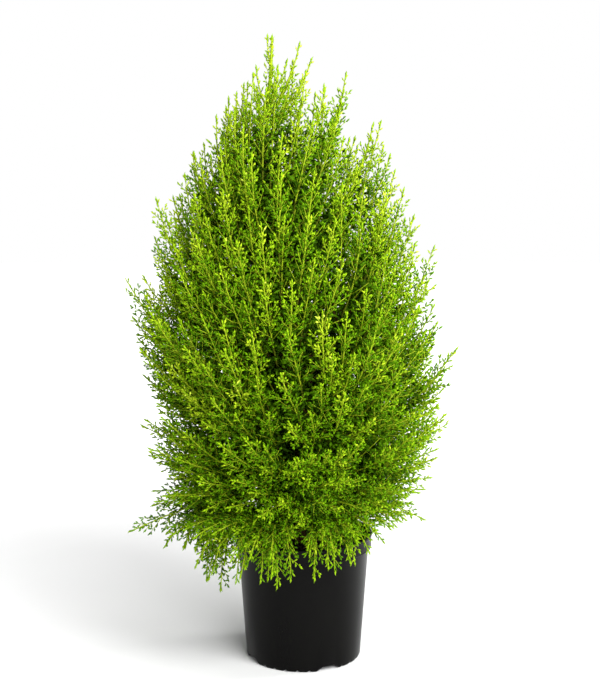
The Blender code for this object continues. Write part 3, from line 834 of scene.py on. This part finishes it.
def tubes(lines, radii, sides, tones):
    """Batches for array_mesh: a tube along each line, with a tone for each of its stretches."""
    count, points = lines.shape[:2]
    headings = unit(np.gradient(lines, axis=1))
    whole = unit(lines[:, -1:] - lines[:, :1])
    across, through = square_to(headings, np.broadcast_to(whole, headings.shape))
    turn = 2 * np.pi * np.arange(sides)[:, None] / sides
    out = across[:, :, None] * np.cos(turn) + through[:, :, None] * np.sin(turn)
    corners = lines[:, :, None] + radii[:, :, None, None] * out
    numbers = np.arange(count * points * sides).reshape(count, points, sides)
    beside = np.roll(numbers, -1, axis=2)
    walls = np.stack([numbers[:, :-1], beside[:, :-1], beside[:, 1:], numbers[:, 1:]], -1)
    batch = (corners, walls.reshape(-1, 4), np.repeat(tones.ravel(), sides))
    caps = np.concatenate([numbers[:, 0, ::-1], numbers[:, -1]]) - count * points * sides
    cap_tones = np.concatenate([tones[:, 0], tones[:, -1]])
    return [batch, (np.zeros((0, 3)), caps, cap_tones)]


def stem_tubes(lines, stout):
    """Stems along those lines: green and thin near the tip, woody and thicker far from it."""
    run = run_along(lines)
    from_tip = run[:, -1:] - run
    radii = stout * np.interp(from_tip, *np.array(STEM_RADII).T)
    tones = 2 - (from_tip[:, :-1] > OLIVE_FROM).astype(int) - (from_tip[:, :-1] > WOODY_FROM)
    return tubes(lines, radii, STEM_SIDES, tones)


# %% [markdown]
# ## Where things grow on a line
# On a cypress everything stands round its stem in turn: side shoots round a shoot, twiglets round
# a side shoot, leaves round both. Each is turned a golden angle on from the last, so that no two
# stand over each other. This function gives all such places on one line.

# %% Places round a line
GOLDEN_ANGLE = math.radians(137.508)
SPREAD_VARIES = math.radians(5)
NEAR_FOOT = 0.97


def places_round(line, gap, first, last, spread, chance):
    """(root, heading, distance from the tip, heading of the line) of all that stands round it."""
    run = run_along(line)
    from_tip = np.arange(first, min(NEAR_FOOT * run[-1], last), gap)
    at = run[-1] - from_tip
    root = np.stack([np.interp(at, run, line[:, axis]) for axis in range(3)], -1)
    tangents = unit(np.gradient(line, axis=0))
    ahead = unit(np.stack([np.interp(at, run, tangents[:, axis]) for axis in range(3)], -1))
    roll = (chance.uniform(0, 2 * np.pi) + GOLDEN_ANGLE * np.arange(len(at)))[:, None]
    away = sideways(ahead, unit(line[-1:] - line[:1]), roll)
    angle = chance.normal(spread, SPREAD_VARIES, (len(at), 1))
    return root, ahead * np.cos(angle) + away * np.sin(angle), from_tip, ahead


def round_all(lines, *how):
    """The same for many lines, joined, with the number of each one's line first."""
    parts = [places_round(line, *how) for line in lines]
    owner = np.repeat(np.arange(len(parts)), [len(part[0]) for part in parts])
    return [owner] + [np.concatenate(column) for column in zip(*parts)]


def only(pick, *arrays):
    return [array[pick] for array in arrays]


# %% [markdown]
# ## A twiglet
# What the eye takes for one leaf is a blunt twiglet under a centimetre long: a thin green axis, thicker
# towards its end, wrapped in awl-shaped leaves. There are tens of thousands of them in the crown,
# so each may have only a few faces. The axis is two three-sided cones, base to base, and each leaf
# is a folded kite. A twiglet is modelled once, in units of its own length and thickness.

# %% Model the twiglets
TWIGLET_KINDS = 4
AXIS_RADIUS, AXIS_WIDEST = 0.34, 0.72
LEAF_LENGTH, LEAF_WIDTH, LEAF_FOLD = 0.48, 0.37, 0.07
LEAF_LEANS = (math.radians(48), math.radians(30))
LEAF_STARTS, LEAF_VARIES, LEAF_WIDEST = (0.12, 0.66), (0.85, 1.15), -0.12


def add_leaf(bm, place, turn, lean, length):
    """A kite of two faces, folded along its middle: it leans out from the axis."""
    made = bmesh.ops.create_circle(bm, cap_ends=True, segments=4, radius=0.5)["verts"]
    tip, left, root, right = made
    bmesh.ops.connect_verts(bm, verts=[tip, root])
    bmesh.ops.scale(bm, vec=(LEAF_WIDTH, length, 1), verts=made)
    bmesh.ops.translate(bm, vec=(0, length / 2, 0), verts=made)
    bmesh.ops.translate(bm, vec=(0, LEAF_WIDEST * length, LEAF_FOLD), verts=[left, right])
    upright = Matrix.Rotation(turn, 4, "Z") @ Matrix.Rotation(math.pi / 2 - lean, 4, "X")
    bmesh.ops.transform(bm, matrix=Matrix.Translation(place) @ upright, verts=made)


def twiglet(leaves, chance):
    bm = bmesh.new()
    edges = add_ring(bm, 3, AXIS_RADIUS, Matrix.Translation((0, 0, AXIS_WIDEST)))[1]
    for end in (0.0, 1.0):
        grown = bmesh.ops.extrude_edge_only(bm, edges=edges)["geom"]
        verts = [item for item in grown if isinstance(item, bmesh.types.BMVert)]
        bmesh.ops.pointmerge(bm, verts=verts, merge_co=(0, 0, end))
    bmesh.ops.recalc_face_normals(bm, faces=bm.faces)
    first = chance.uniform(0, 2 * math.pi)
    for leaf in range(leaves):
        share = leaf / (leaves - 1)
        lean = between(LEAF_LEANS, share) * chance.uniform(*LEAF_VARIES)
        length = LEAF_LENGTH * chance.uniform(*LEAF_VARIES)
        add_leaf(bm, (0, 0, between(LEAF_STARTS, share)), first + leaf * GOLDEN_ANGLE, lean, length)
    return shape_arrays(bm)


twiglets = [twiglet(4, random.Random(f"twiglet {kind}")) for kind in range(TWIGLET_KINDS)]
inner_twiglets = [twiglet(3, random.Random(f"inner {kind}")) for kind in range(TWIGLET_KINDS)]
print("a twiglet has", len(twiglets[0][1]), "faces, a plain one", len(inner_twiglets[0][1]))

# %% One leaf, for the stems
STEM_LEAF_LEAN = math.radians(25)

bm = bmesh.new()
add_leaf(bm, (0, 0, 0), 0, STEM_LEAF_LEAN, 1.0)
stem_leaf_shape = shape_arrays(bm)

# %% [markdown]
# ## Where each green goes
# New growth is yellow-green and almost glows, older sprays behind it are a deeper green, and
# inside the crown they are darker still, partly as painted shade. A pattern in space would cut
# through sprays, so each spray gets one plain colour: brighter near its plume's tip and higher in
# the crown, and some plumes are brighter than others. The leaves are matt, with hardly any shine
# that would turn them grey.

# %% The greens
GREENS = (
    # The first green is partly painted shade: darker than old foliage is, for the shade deep in the crown.
    ("leaf_old_and_painted_shade", (0.028, 0.074, 0.0006)),
    ("leaf_deep", (0.064, 0.162, 0.0008)),
    ("leaf_green", (0.116, 0.268, 0.0012)),
    ("leaf_lime", (0.236, 0.404, 0.0050)),
    ("leaf_bright", (0.400, 0.548, 0.0160)),
    ("leaf_new", (0.560, 0.685, 0.0600)),
)
STEMS = (
    ("stem_woody", (0.070, 0.042, 0.012)),
    ("stem_olive", (0.120, 0.150, 0.008)),
    ("stem_green", (0.320, 0.430, 0.014)),
)
leaf_finishes = [finish(name, colour, 0.6, specular=0.05) for name, colour in GREENS]
stem_finishes = [finish(name, colour, 0.6, specular=0.08) for name, colour in STEMS]
for green in leaf_finishes + stem_finishes:
    steer(green, "Roughness", clouds(green, 300, detail=1), ((0.35, 0.50), (0.65, 0.68)))

TONE_BASE, TONE_NEW, TONE_DEPTH, TONE_HEIGHT = 1.75, 2.3, 0.050, 1.6
SPRAY_LUCK, PLUME_LUCK = 0.30, 0.50
END_BRIGHTER = 0.35


def spray_tones(owner, from_tip, height, chance):
    """How bright each spray is, from 0 for the inside to 5 for new growth."""
    high = (height - SOIL_TOP) / (TREE_TOP - SOIL_TOP)
    luck = chance.normal(0, SPRAY_LUCK, len(owner))
    plume = chance.normal(0, PLUME_LUCK, owner.max() + 1)[owner]
    new = TONE_NEW * np.exp(-from_tip / TONE_DEPTH)
    return TONE_BASE + new + TONE_HEIGHT * (high - 0.5) + luck + plume


# %% [markdown]
# ## Placing leaves and twiglets
# Each copy gets its root, heading, length and thickness, a random turn about itself, and the green
# of its tone. What would stand in the pot or outside the frame's box is left out.

# %% Place copies of small shapes
POT_CLEARANCE, BOX_INSET = 0.003, 0.0005
LEAF_INSET = (0.0017, 0.0017, 0.0010)


def allowed(points, inset=BOX_INSET):
    """True for points clear of the pot and that far inside the frame's box."""
    low, high = (np.array(corner) for corner in frame_box)
    in_box = ((points >= low + inset) & (points <= high - np.array(inset))).all(-1)
    radius = np.hypot(points[..., 0], points[..., 1])
    above = points[..., 2] > POT_HEIGHT + POT_CLEARANCE
    return in_box & (above | (radius > POT_RIM_RADIUS + POT_CLEARANCE))


def place(shapes, root, heading, length, thickness, tone, chance):
    """Batches for array_mesh: on each root one of the shapes."""
    batches = []
    fits = allowed(root + heading * length[:, None], LEAF_INSET)
    kinds = chance.integers(0, len(shapes), len(root))
    for kind, (corners, faces) in enumerate(shapes):
        at, along, long, wide, bright = only(fits & (kinds == kind), root, heading, length, thickness, tone)
        side = sideways(along, along, chance.uniform(0, 2 * np.pi, (len(at), 1)))
        other = np.cross(along, side)
        flat = corners[None, :, :1] * side[:, None] + corners[None, :, 1:2] * other[:, None]
        upright = corners[None, :, 2:] * along[:, None]
        placed = at[:, None] + wide[:, None, None] * flat + long[:, None, None] * upright
        batches.append(copies(placed, faces, np.clip(bright, 0, len(GREENS) - 1).astype(int)))
    return batches


# %% [markdown]
# ## A plume's stem
# The outer part of a shoot is itself clad in small leaves, pressed along it. From afar this makes
# the bright yellow-green line in the middle of each plume. The very tip is blunt, and its lower
# tone is painted shade.

# %% Leaves on a shoot's own stem
STEM_LEAF_GAP, STEM_LEAF_END = 0.0017, 0.085
STEM_LEAF_SIZES, STEM_LEAF_WIDTH = (0.0036, 0.0047), 1.15
STEM_LEAF_LUCK = 0.5
# The lower tone at the very tip, and the tip twiglets' tone, are painted shade on the blunt tips.
STEM_LEAF_TONES = ((0.0, 3.4), (0.015, 4.4), (0.085, 3.6))
TIP_TWIGLETS = ((0.006, 0.0130), (0.011, 0.0120))
TIP_TONE, TIP_THICKNESS = 3.2, 0.0058


def stem_leaves(lines, stout, chance):
    how = (STEM_LEAF_GAP, 0.0, STEM_LEAF_END, 0.0, chance)
    owner, root, heading, from_tip, ahead = round_all(lines, *how)
    size = between(STEM_LEAF_SIZES, from_tip / STEM_LEAF_END) * stout
    tone = np.interp(from_tip, *np.array(STEM_LEAF_TONES).T)
    tone += chance.normal(0, STEM_LEAF_LUCK, len(owner))
    batches = place([stem_leaf_shape], root, heading, size, STEM_LEAF_WIDTH * size, tone, chance)
    end_heading = unit(lines[:, -1] - lines[:, -2])
    for back, length in TIP_TWIGLETS:
        same = np.ones(len(lines))
        end = lines[:, -1] - back * end_heading
        tone = TIP_TONE * same
        batches += place(twiglets, end, end_heading, length * same, TIP_THICKNESS * same, tone, chance)
    return batches


# %% [markdown]
# ## Side shoots
# A plume of lemon cypress is a narrow cone: side shoots stand all round its stem at about forty
# degrees, long at the plume's foot and ever shorter towards its tip. How long a side shoot is
# depends only on how far it stands from the tip, so one small table shapes every plume. The
# shortest are single twiglets, which alone clothe the last centimetres.

# %% Side shoots
SIDE_GAP, SIDE_FIRST, SIDE_LAST = 0.0064, 0.004, 0.125
SIDE_SPREAD = math.radians(41)
SIDE_LENGTHS = ((0.0, 0.008), (0.02, 0.012), (0.05, 0.023), (0.09, 0.036), (0.15, 0.050))
SIDE_VARIES = (0.75, 1.2)
SIDE_STEM_RADII = (0.0008, 0.0006, 0.0004)
FORWARD_BEND = 0.45
BRANCHED_FROM = 0.0125


def side_shoots(lines, slim, chance):
    """(owner, root, distance from the tip, heading, heading at the end, length) of side shoots."""
    how = (SIDE_GAP, SIDE_FIRST, SIDE_LAST, SIDE_SPREAD, chance)
    owner, root, heading, from_tip, ahead = round_all(lines, *how)
    length = slim * np.interp(from_tip, *np.array(SIDE_LENGTHS).T)
    length = np.maximum(length, SIDE_LENGTHS[0][1]) * chance.uniform(*SIDE_VARIES, len(owner))
    fits = allowed(root) & allowed(root + heading * length[:, None])
    end_heading = unit(heading + FORWARD_BEND * ahead)
    return only(fits, owner, root, from_tip, heading, end_heading, length)


def side_points(root, heading, end_heading, length, share):
    """Points on bent side shoots: share is 0 at the root and 1 at the end."""
    bent = heading + (end_heading - heading) * share / 2
    return root + length * share * bent


def side_stems(root, heading, end_heading, length, from_tip):
    shares = np.array([0.0, 0.5, 1.0])[:, None]
    places = (root[:, None], heading[:, None], end_heading[:, None], length[:, None, None])
    lines = side_points(*places, shares)
    radii = np.broadcast_to(np.array(SIDE_STEM_RADII), (len(root), 3))
    tones = np.where(from_tip > OLIVE_FROM, 1, 2)[:, None] + np.zeros((1, 2), int)
    return tubes(lines, radii, SIDE_STEM_SIDES, tones)


# %% [markdown]
# ## Twiglets along the side shoots
# Along each side shoot twiglets stand a few millimetres apart, and one ends it. Far behind a
# plume's tip, where other plumes stand in front, some of them are left out.

# %% Twiglets along side shoots
TWIGLET_GAP, TWIGLET_FIRST = 0.0040, 0.0024
TWIGLET_SPREAD = math.radians(43)
TWIGLET_LENGTHS = ((0.0, 0.0066), (0.02, 0.0090), (0.06, 0.0100))
TWIGLET_THICKNESS = (0.0046, 0.0058)
SPARSE_FROM, SPARSE_SHARE = 0.085, 0.55
GAP_VARIES, LENGTH_VARIES = (-0.2, 0.2), (0.85, 1.15)
BARE_SHARE, SHOOT_TURN = 0.06, 7.1
END_AT, END_LENGTHS = 0.9, (0.008, 0.010)


def side_twiglets(root, heading, end_heading, length, from_tip, tone, chance):
    slots = np.arange(math.ceil(max(length) / TWIGLET_GAP))
    uneven = chance.uniform(*GAP_VARIES, (len(root), len(slots)))
    to_end = TWIGLET_FIRST + TWIGLET_GAP * (slots + uneven)
    share = 1 - to_end / length[:, None]
    kept = (from_tip[:, None] < SPARSE_FROM) | (chance.random(share.shape) < SPARSE_SHARE)
    which, slot = np.nonzero((share > BARE_SHARE) & kept)
    share, to_end = share[which, slot][:, None], to_end[which, slot]
    base, start, end, size = only(which, root, heading, end_heading, length[:, None])
    at = side_points(base, start, end, size, share)
    stem = unit(start + (end - start) * share)
    away = sideways(stem, stem, (GOLDEN_ANGLE * slot + SHOOT_TURN * which)[:, None])
    angle = chance.normal(TWIGLET_SPREAD, SPREAD_VARIES, (len(which), 1))
    long = np.interp(to_end, *np.array(TWIGLET_LENGTHS).T)
    long *= chance.uniform(*LENGTH_VARIES, len(which))
    thick = chance.uniform(*TWIGLET_THICKNESS, len(which))
    bright = tone[which] + END_BRIGHTER * (to_end < 2 * TWIGLET_GAP)
    out = stem * np.cos(angle) + away * np.sin(angle)
    return place(twiglets, at, out, long, thick, bright, chance)


def grow_shoots(lines, slim, stout, chance):
    """(stem batches, leaf batches) of plumes along those lines."""
    lines = np.array(lines)
    stems = stem_tubes(lines, stout)
    leaves = stem_leaves(lines, stout, chance)
    owner, root, from_tip, heading, end_heading, length = side_shoots(lines, slim, chance)
    tone = spray_tones(owner, from_tip, root[:, 2], chance)
    thick = chance.uniform(*TWIGLET_THICKNESS, len(owner))
    short = length < BRANCHED_FROM
    leaves += place(twiglets, *only(short, root, heading, length, thick, tone + END_BRIGHTER), chance)
    sides = only(~short, root, heading, end_heading, length, from_tip)
    if len(sides[0]):
        stems += side_stems(*sides)
        leaves += side_twiglets(*sides, tone[~short], chance)
        root, heading, end_heading, length, from_tip = sides
        end = side_points(root, heading, end_heading, length[:, None], END_AT)
        size = chance.uniform(*END_LENGTHS, len(end))
        leaves += place(twiglets, end, end_heading, size, thick[~short], tone[~short] + END_BRIGHTER, chance)
    return stems, leaves


# %% [markdown]
# ## Inside the crown
# Deep inside, where little light comes, the old foliage is plain and deep green, and its darkest
# green is painted shade. Larger twiglets with fewer leaves stand there, round the inner part of
# every shoot and round the boughs, and close the view through the crown.

# %% Dark twiglets inside the crown
INNER_FROM, INNER_GAP, INNER_SPREAD = 0.092, 0.0050, math.radians(58)
INNER_LENGTHS, INNER_THICKNESS = (0.015, 0.026), (0.0086, 0.0118)
# These tones give the darkest greens, which are partly painted shade deep in the crown.
INNER_TONES = (0.4, 1.9)


def inner_sprays(lines, first, chance):
    """Batches of dark twiglets round each line, from that distance from its tip inwards."""
    owner, root, heading, from_tip, ahead = round_all(lines, INNER_GAP, first, 1.0, INNER_SPREAD, chance)
    length = chance.uniform(*INNER_LENGTHS, len(owner))
    thick = chance.uniform(*INNER_THICKNESS, len(owner))
    tone = chance.uniform(*INNER_TONES, len(owner))
    return place(inner_twiglets, root, heading, length, thick, tone, chance)


# %% [markdown]
# ## The crown, tier by tier
# Stems and leaves of a tier are two kinds, so they are joined apart. In a tier with many shoots
# every second mass goes to a second leaf piece, which keeps each piece light. A leaf piece stands
# for its masses' nodes.

# %% Grow the crown
SIDES = {"skirt": 1, "low": 2, "middle": 2, "upper": 2, "top": 1}
TIER_SLIM = {"top": 0.8}
OUTER_FROM = PATH_POINTS // 3


def clear_shoot(line):
    """True if a shoot's outer part keeps clear of the pot."""
    return bool(allowed(line[OUTER_FROM:]).all())


def grow_mass(mass):
    """(stem batches, leaf batches, number of shoots) of one mass."""
    chance = np.random.default_rng(list(mass.node.encode()))
    lines = [shoot_line(mass, i, *shoot) for i, shoot in enumerate(shoots[mass.node])]
    lines = [line for line in lines if clear_shoot(line)]
    stems, leaves = grow_shoots(lines, TIER_SLIM.get(mass.tier, 1.0), 1.0, chance)
    leaves += inner_sprays(lines, INNER_FROM, chance)
    bough = bough_line(mass, PATH_POINTS)[2:]
    leaves += inner_sprays([bough], 0.0, chance)
    return stems, leaves, len(lines)


shoot_count = 0
leaf_total = 0
for tier, *_ in TIERS:
    tier_masses = [mass for mass in masses if mass.tier == tier]
    tier_stems = []
    for side in range(SIDES[tier]):
        side_masses = tier_masses[side :: SIDES[tier]]
        side_leaves = []
        for mass in side_masses:
            stems, leaves, count = grow_mass(mass)
            tier_stems += stems
            side_leaves += leaves
            shoot_count += count
        name = f"leaves_{tier}" + (f"_{'ab'[side]}" if SIDES[tier] > 1 else "")
        mesh = array_mesh(name, side_leaves)
        leaf_total += len(mesh.polygons)
        put(name, mesh, [mass.node for mass in side_masses], leaf_finishes)
    put(f"twigs_{tier}", array_mesh(f"twigs_{tier}", tier_stems), [], stem_finishes)
print(shoot_count, "shoots,", leaf_total, "leaf triangles")

# %% [markdown]
# ## Foliage round the trunk
# Between the boughs the trunk has short shoots of its own, with old foliage, deep green and
# darker still as painted shade. They reach from two fifths to three quarters of the way out, turn
# upwards as they go, and hide the trunk.

# %% Grow the short shoots on the trunk
TRUNK_SHOOTS, TRUNK_SHOOT_HEIGHTS = 200, (0.225, 0.800)
TRUNK_SHOOT_REACH, TRUNK_SHOOT_RISE = (0.38, 0.76), (0.4, 1.1)
TRUNK_SHOOT_TIP, TRUNK_SHOOT_BEND = 0.12, 1.5


def trunk_shoot(index, chance):
    share = index / (TRUNK_SHOOTS - 1)
    foot = trunk_line(np.array(between(TRUNK_SHOOT_HEIGHTS, share)))
    bearing = index * GOLDEN_ANGLE
    reach = chance.uniform(*TRUNK_SHOOT_REACH) * crown_reach(bearing, foot[2] + TRUNK_SHOOT_TIP)
    rise = chance.uniform(*TRUNK_SHOOT_RISE) * reach
    out = np.array([math.cos(bearing), math.sin(bearing), 0])
    along = np.linspace(0, 1, PATH_POINTS)[:, None]
    return foot + out * reach * along + np.array([0, 0, rise]) * along ** TRUNK_SHOOT_BEND


chance = np.random.default_rng(5)
lines = [trunk_shoot(index, chance) for index in range(TRUNK_SHOOTS)]
lines = [line for line in lines if allowed(line).all()]
put("twigs_inside", array_mesh("twigs_inside", stem_tubes(np.array(lines), 1.0)), [], stem_finishes)
inside_mesh = array_mesh("leaves_inside", inner_sprays(lines, 0.0, chance))
put("leaves_inside", inside_mesh, [], leaf_finishes)

# %% [markdown]
# ## The leader
# Over the top of the trunk the crown is open: one stout leading shoot, with slim ones beside it
# and sky between them. They grow as all other shoots do. The highest stand close to the leader,
# and the lower ones start well down on the trunk and hide it.

# %% Grow the leader
LEADER_SHOOTS = (  # X and Y of the tip from the trunk's line, height of the tip, height at its foot
    (-0.007, 0.004, 0.984, 0.935),
    (0.042, -0.004, 0.972, 0.860),
    (0.061, -0.014, 0.948, 0.845),
    (0.024, -0.012, 0.946, 0.890),
    (0.034, 0.022, 0.938, 0.860),
    (0.054, 0.030, 0.930, 0.830),
    (-0.022, -0.006, 0.936, 0.875),
    (-0.023, -0.026, 0.910, 0.840),
    (-0.038, 0.012, 0.892, 0.815),
    (0.012, -0.038, 0.928, 0.850),
    (0.030, -0.050, 0.905, 0.820),
    (-0.012, -0.052, 0.888, 0.805),
    (0.006, 0.040, 0.930, 0.850),
    (-0.020, 0.048, 0.902, 0.820),
    (0.028, 0.054, 0.900, 0.815),
    (-0.034, -0.040, 0.870, 0.790),
    (-0.040, 0.040, 0.866, 0.790),
    (0.050, -0.044, 0.880, 0.800),
)
LEADER_STOUT, BESIDE_STOUT = 2.5, 1.25
LEADER_SLIM, BESIDE_SLIM = 0.5, 0.62
LEADER_TIP, BESIDE_BEND = 0.0092, 0.3


def leader_line():
    return trunk_line(between((TRUNK_TOP, TREE_TOP - LEADER_TIP), np.linspace(0, 1, PATH_POINTS)))


def beside_leader(x, y, tip_height, foot_height):
    share = np.linspace(0, 1, PATH_POINTS)[:, None]
    foot, tip = trunk_line(np.array(foot_height)), trunk_line(np.array(tip_height)) + (x, y, 0)
    bend = between((foot, tip), 0.5) + np.array([BESIDE_BEND * x, BESIDE_BEND * y, 0])
    return arc(foot, bend, tip, share)


chance = np.random.default_rng(11)
stems, leaves = grow_shoots([leader_line()], LEADER_SLIM, LEADER_STOUT, chance)
beside = [beside_leader(*shoot) for shoot in LEADER_SHOOTS]
more_stems, more_leaves = grow_shoots(beside, BESIDE_SLIM, BESIDE_STOUT, chance)
put("twigs_leader", array_mesh("twigs_leader", stems + more_stems), [], stem_finishes)
leader_mesh = array_mesh("leaves_leader", leaves + more_leaves)
put("leaves_leader", leader_mesh, ["foliage_leader"], leaf_finishes)

# %% [markdown]
# ## Floor, light and camera
# The plant stands on a plain, pale floor before a white backdrop, in soft light. The floor glows
# faintly far from the plant, as a paper sweep that has its own lamps does, so that it runs into
# the backdrop with no line between them. A large soft lamp high on the right gives the plumes
# their light and shade, one in front and one overhead lighten the shade, and two tall, narrow ones
# at the sides draw the upright gleams on the pot.

# %% The floor
FLOOR_SIZE, SWEEP_FROM, SWEEP_TO = 16.0, 0.3, 2.6

bm = bmesh.new()
bmesh.ops.create_circle(bm, cap_ends=True, segments=96, radius=FLOOR_SIZE / 2)
floor_mesh = bpy.data.meshes.new("floor")
bm.to_mesh(floor_mesh)
bm.free()
floor_paint = finish("floor_paint", (0.88, 0.88, 0.88), 0.8, specular=0.1)
floor_nodes, floor_links = floor_paint.node_tree.nodes, floor_paint.node_tree.links
far_off = floor_nodes.new("ShaderNodeVectorMath")
far_off.operation = "LENGTH"
floor_links.new(floor_nodes.new("ShaderNodeTexCoord").outputs["Object"], far_off.inputs[0])
glow = floor_nodes.new("ShaderNodeMapRange")
glow.interpolation_type = "SMOOTHSTEP"
glow.inputs["From Min"].default_value = SWEEP_FROM
glow.inputs["From Max"].default_value = SWEEP_TO
floor_links.new(far_off.outputs["Value"], glow.inputs["Value"])
floor_shader = floor_nodes["Principled BSDF"]
floor_shader.inputs["Emission Color"].default_value = (1, 1, 1, 1)
floor_links.new(glow.outputs["Result"], floor_shader.inputs["Emission Strength"])
floor_mesh.materials.append(floor_paint)
floor = bpy.data.objects.new("floor", floor_mesh)
bpy.context.scene.collection.objects.link(floor)

# %% The backdrop, white to look at and softer as a light
BACKDROP, ROOM_LIGHT = 1.0, 0.31

world = bpy.data.worlds.new("white_room")
world.use_nodes = True
world_nodes, world_links = world.node_tree.nodes, world.node_tree.links
room = world_nodes["Background"]
room.inputs["Color"].default_value = (1, 1, 1, 1)
brightness = world_nodes.new("ShaderNodeMapRange")
brightness.inputs["To Min"].default_value = ROOM_LIGHT
brightness.inputs["To Max"].default_value = BACKDROP
seen = world_nodes.new("ShaderNodeLightPath").outputs["Is Camera Ray"]
world_links.new(seen, brightness.inputs["Value"])
world_links.new(brightness.outputs["Result"], room.inputs["Strength"])
bpy.context.scene.world = world

# %% The lamps
LAMPS = (  # name, place, width, height, watts
    ("key", (1.7, -1.9, 2.3), 1.4, 1.4, 104),
    ("right_strip", (2.1, 0.4, 1.0), 0.5, 2.0, 20),
    ("left_strip", (-2.0, 0.8, 1.0), 0.3, 1.8, 4),
    ("front", (0.9, -2.8, 1.4), 1.2, 1.2, 70),
    ("top", (0.2, 0.1, 3.0), 2.4, 2.4, 48),
)
AIM = Vector((0, 0, 0.5))
for name, spot, width, height, watts in LAMPS:
    lamp = bpy.data.lights.new(name, "AREA")
    lamp.shape = "RECTANGLE"
    lamp.size = width
    lamp.size_y = height
    lamp.energy = watts
    lamp_object = bpy.data.objects.new(name, lamp)
    lamp_object.location = spot
    lamp_object.rotation_euler = (AIM - Vector(spot)).to_track_quat("-Z", "Y").to_euler()
    lamp_object.visible_camera = False
    bpy.context.scene.collection.objects.link(lamp_object)

# %% [markdown]
# ## The camera
# The camera takes the plant from the photograph's angle: a little over two metres away, above the
# plant's middle, and looking slightly down.

# %% The camera
CAMERA_PLACE, CAMERA_PITCH = (-0.0055, -2.1, 0.81), math.radians(8.4)
FRAME_HEIGHT, FOCAL_PIXELS, SENSOR = 700, 1337, 36.0

camera_data = bpy.data.cameras.new("camera")
camera_data.sensor_width = SENSOR
camera_data.lens = SENSOR * FOCAL_PIXELS / FRAME_HEIGHT
camera = bpy.data.objects.new("camera", camera_data)
camera.location = CAMERA_PLACE
camera.rotation_euler = (math.pi / 2 - CAMERA_PITCH, 0, 0)
bpy.context.scene.collection.objects.link(camera)
bpy.context.scene.camera = camera
bpy.context.scene.view_settings.view_transform = "Standard"

# %% [markdown]
# ## The frame's box
# The frame's box is written down, its low corner and then its high one.

# %% Write the frame's box
print("frame", [round(v, 4) for c in frame_box for v in c])
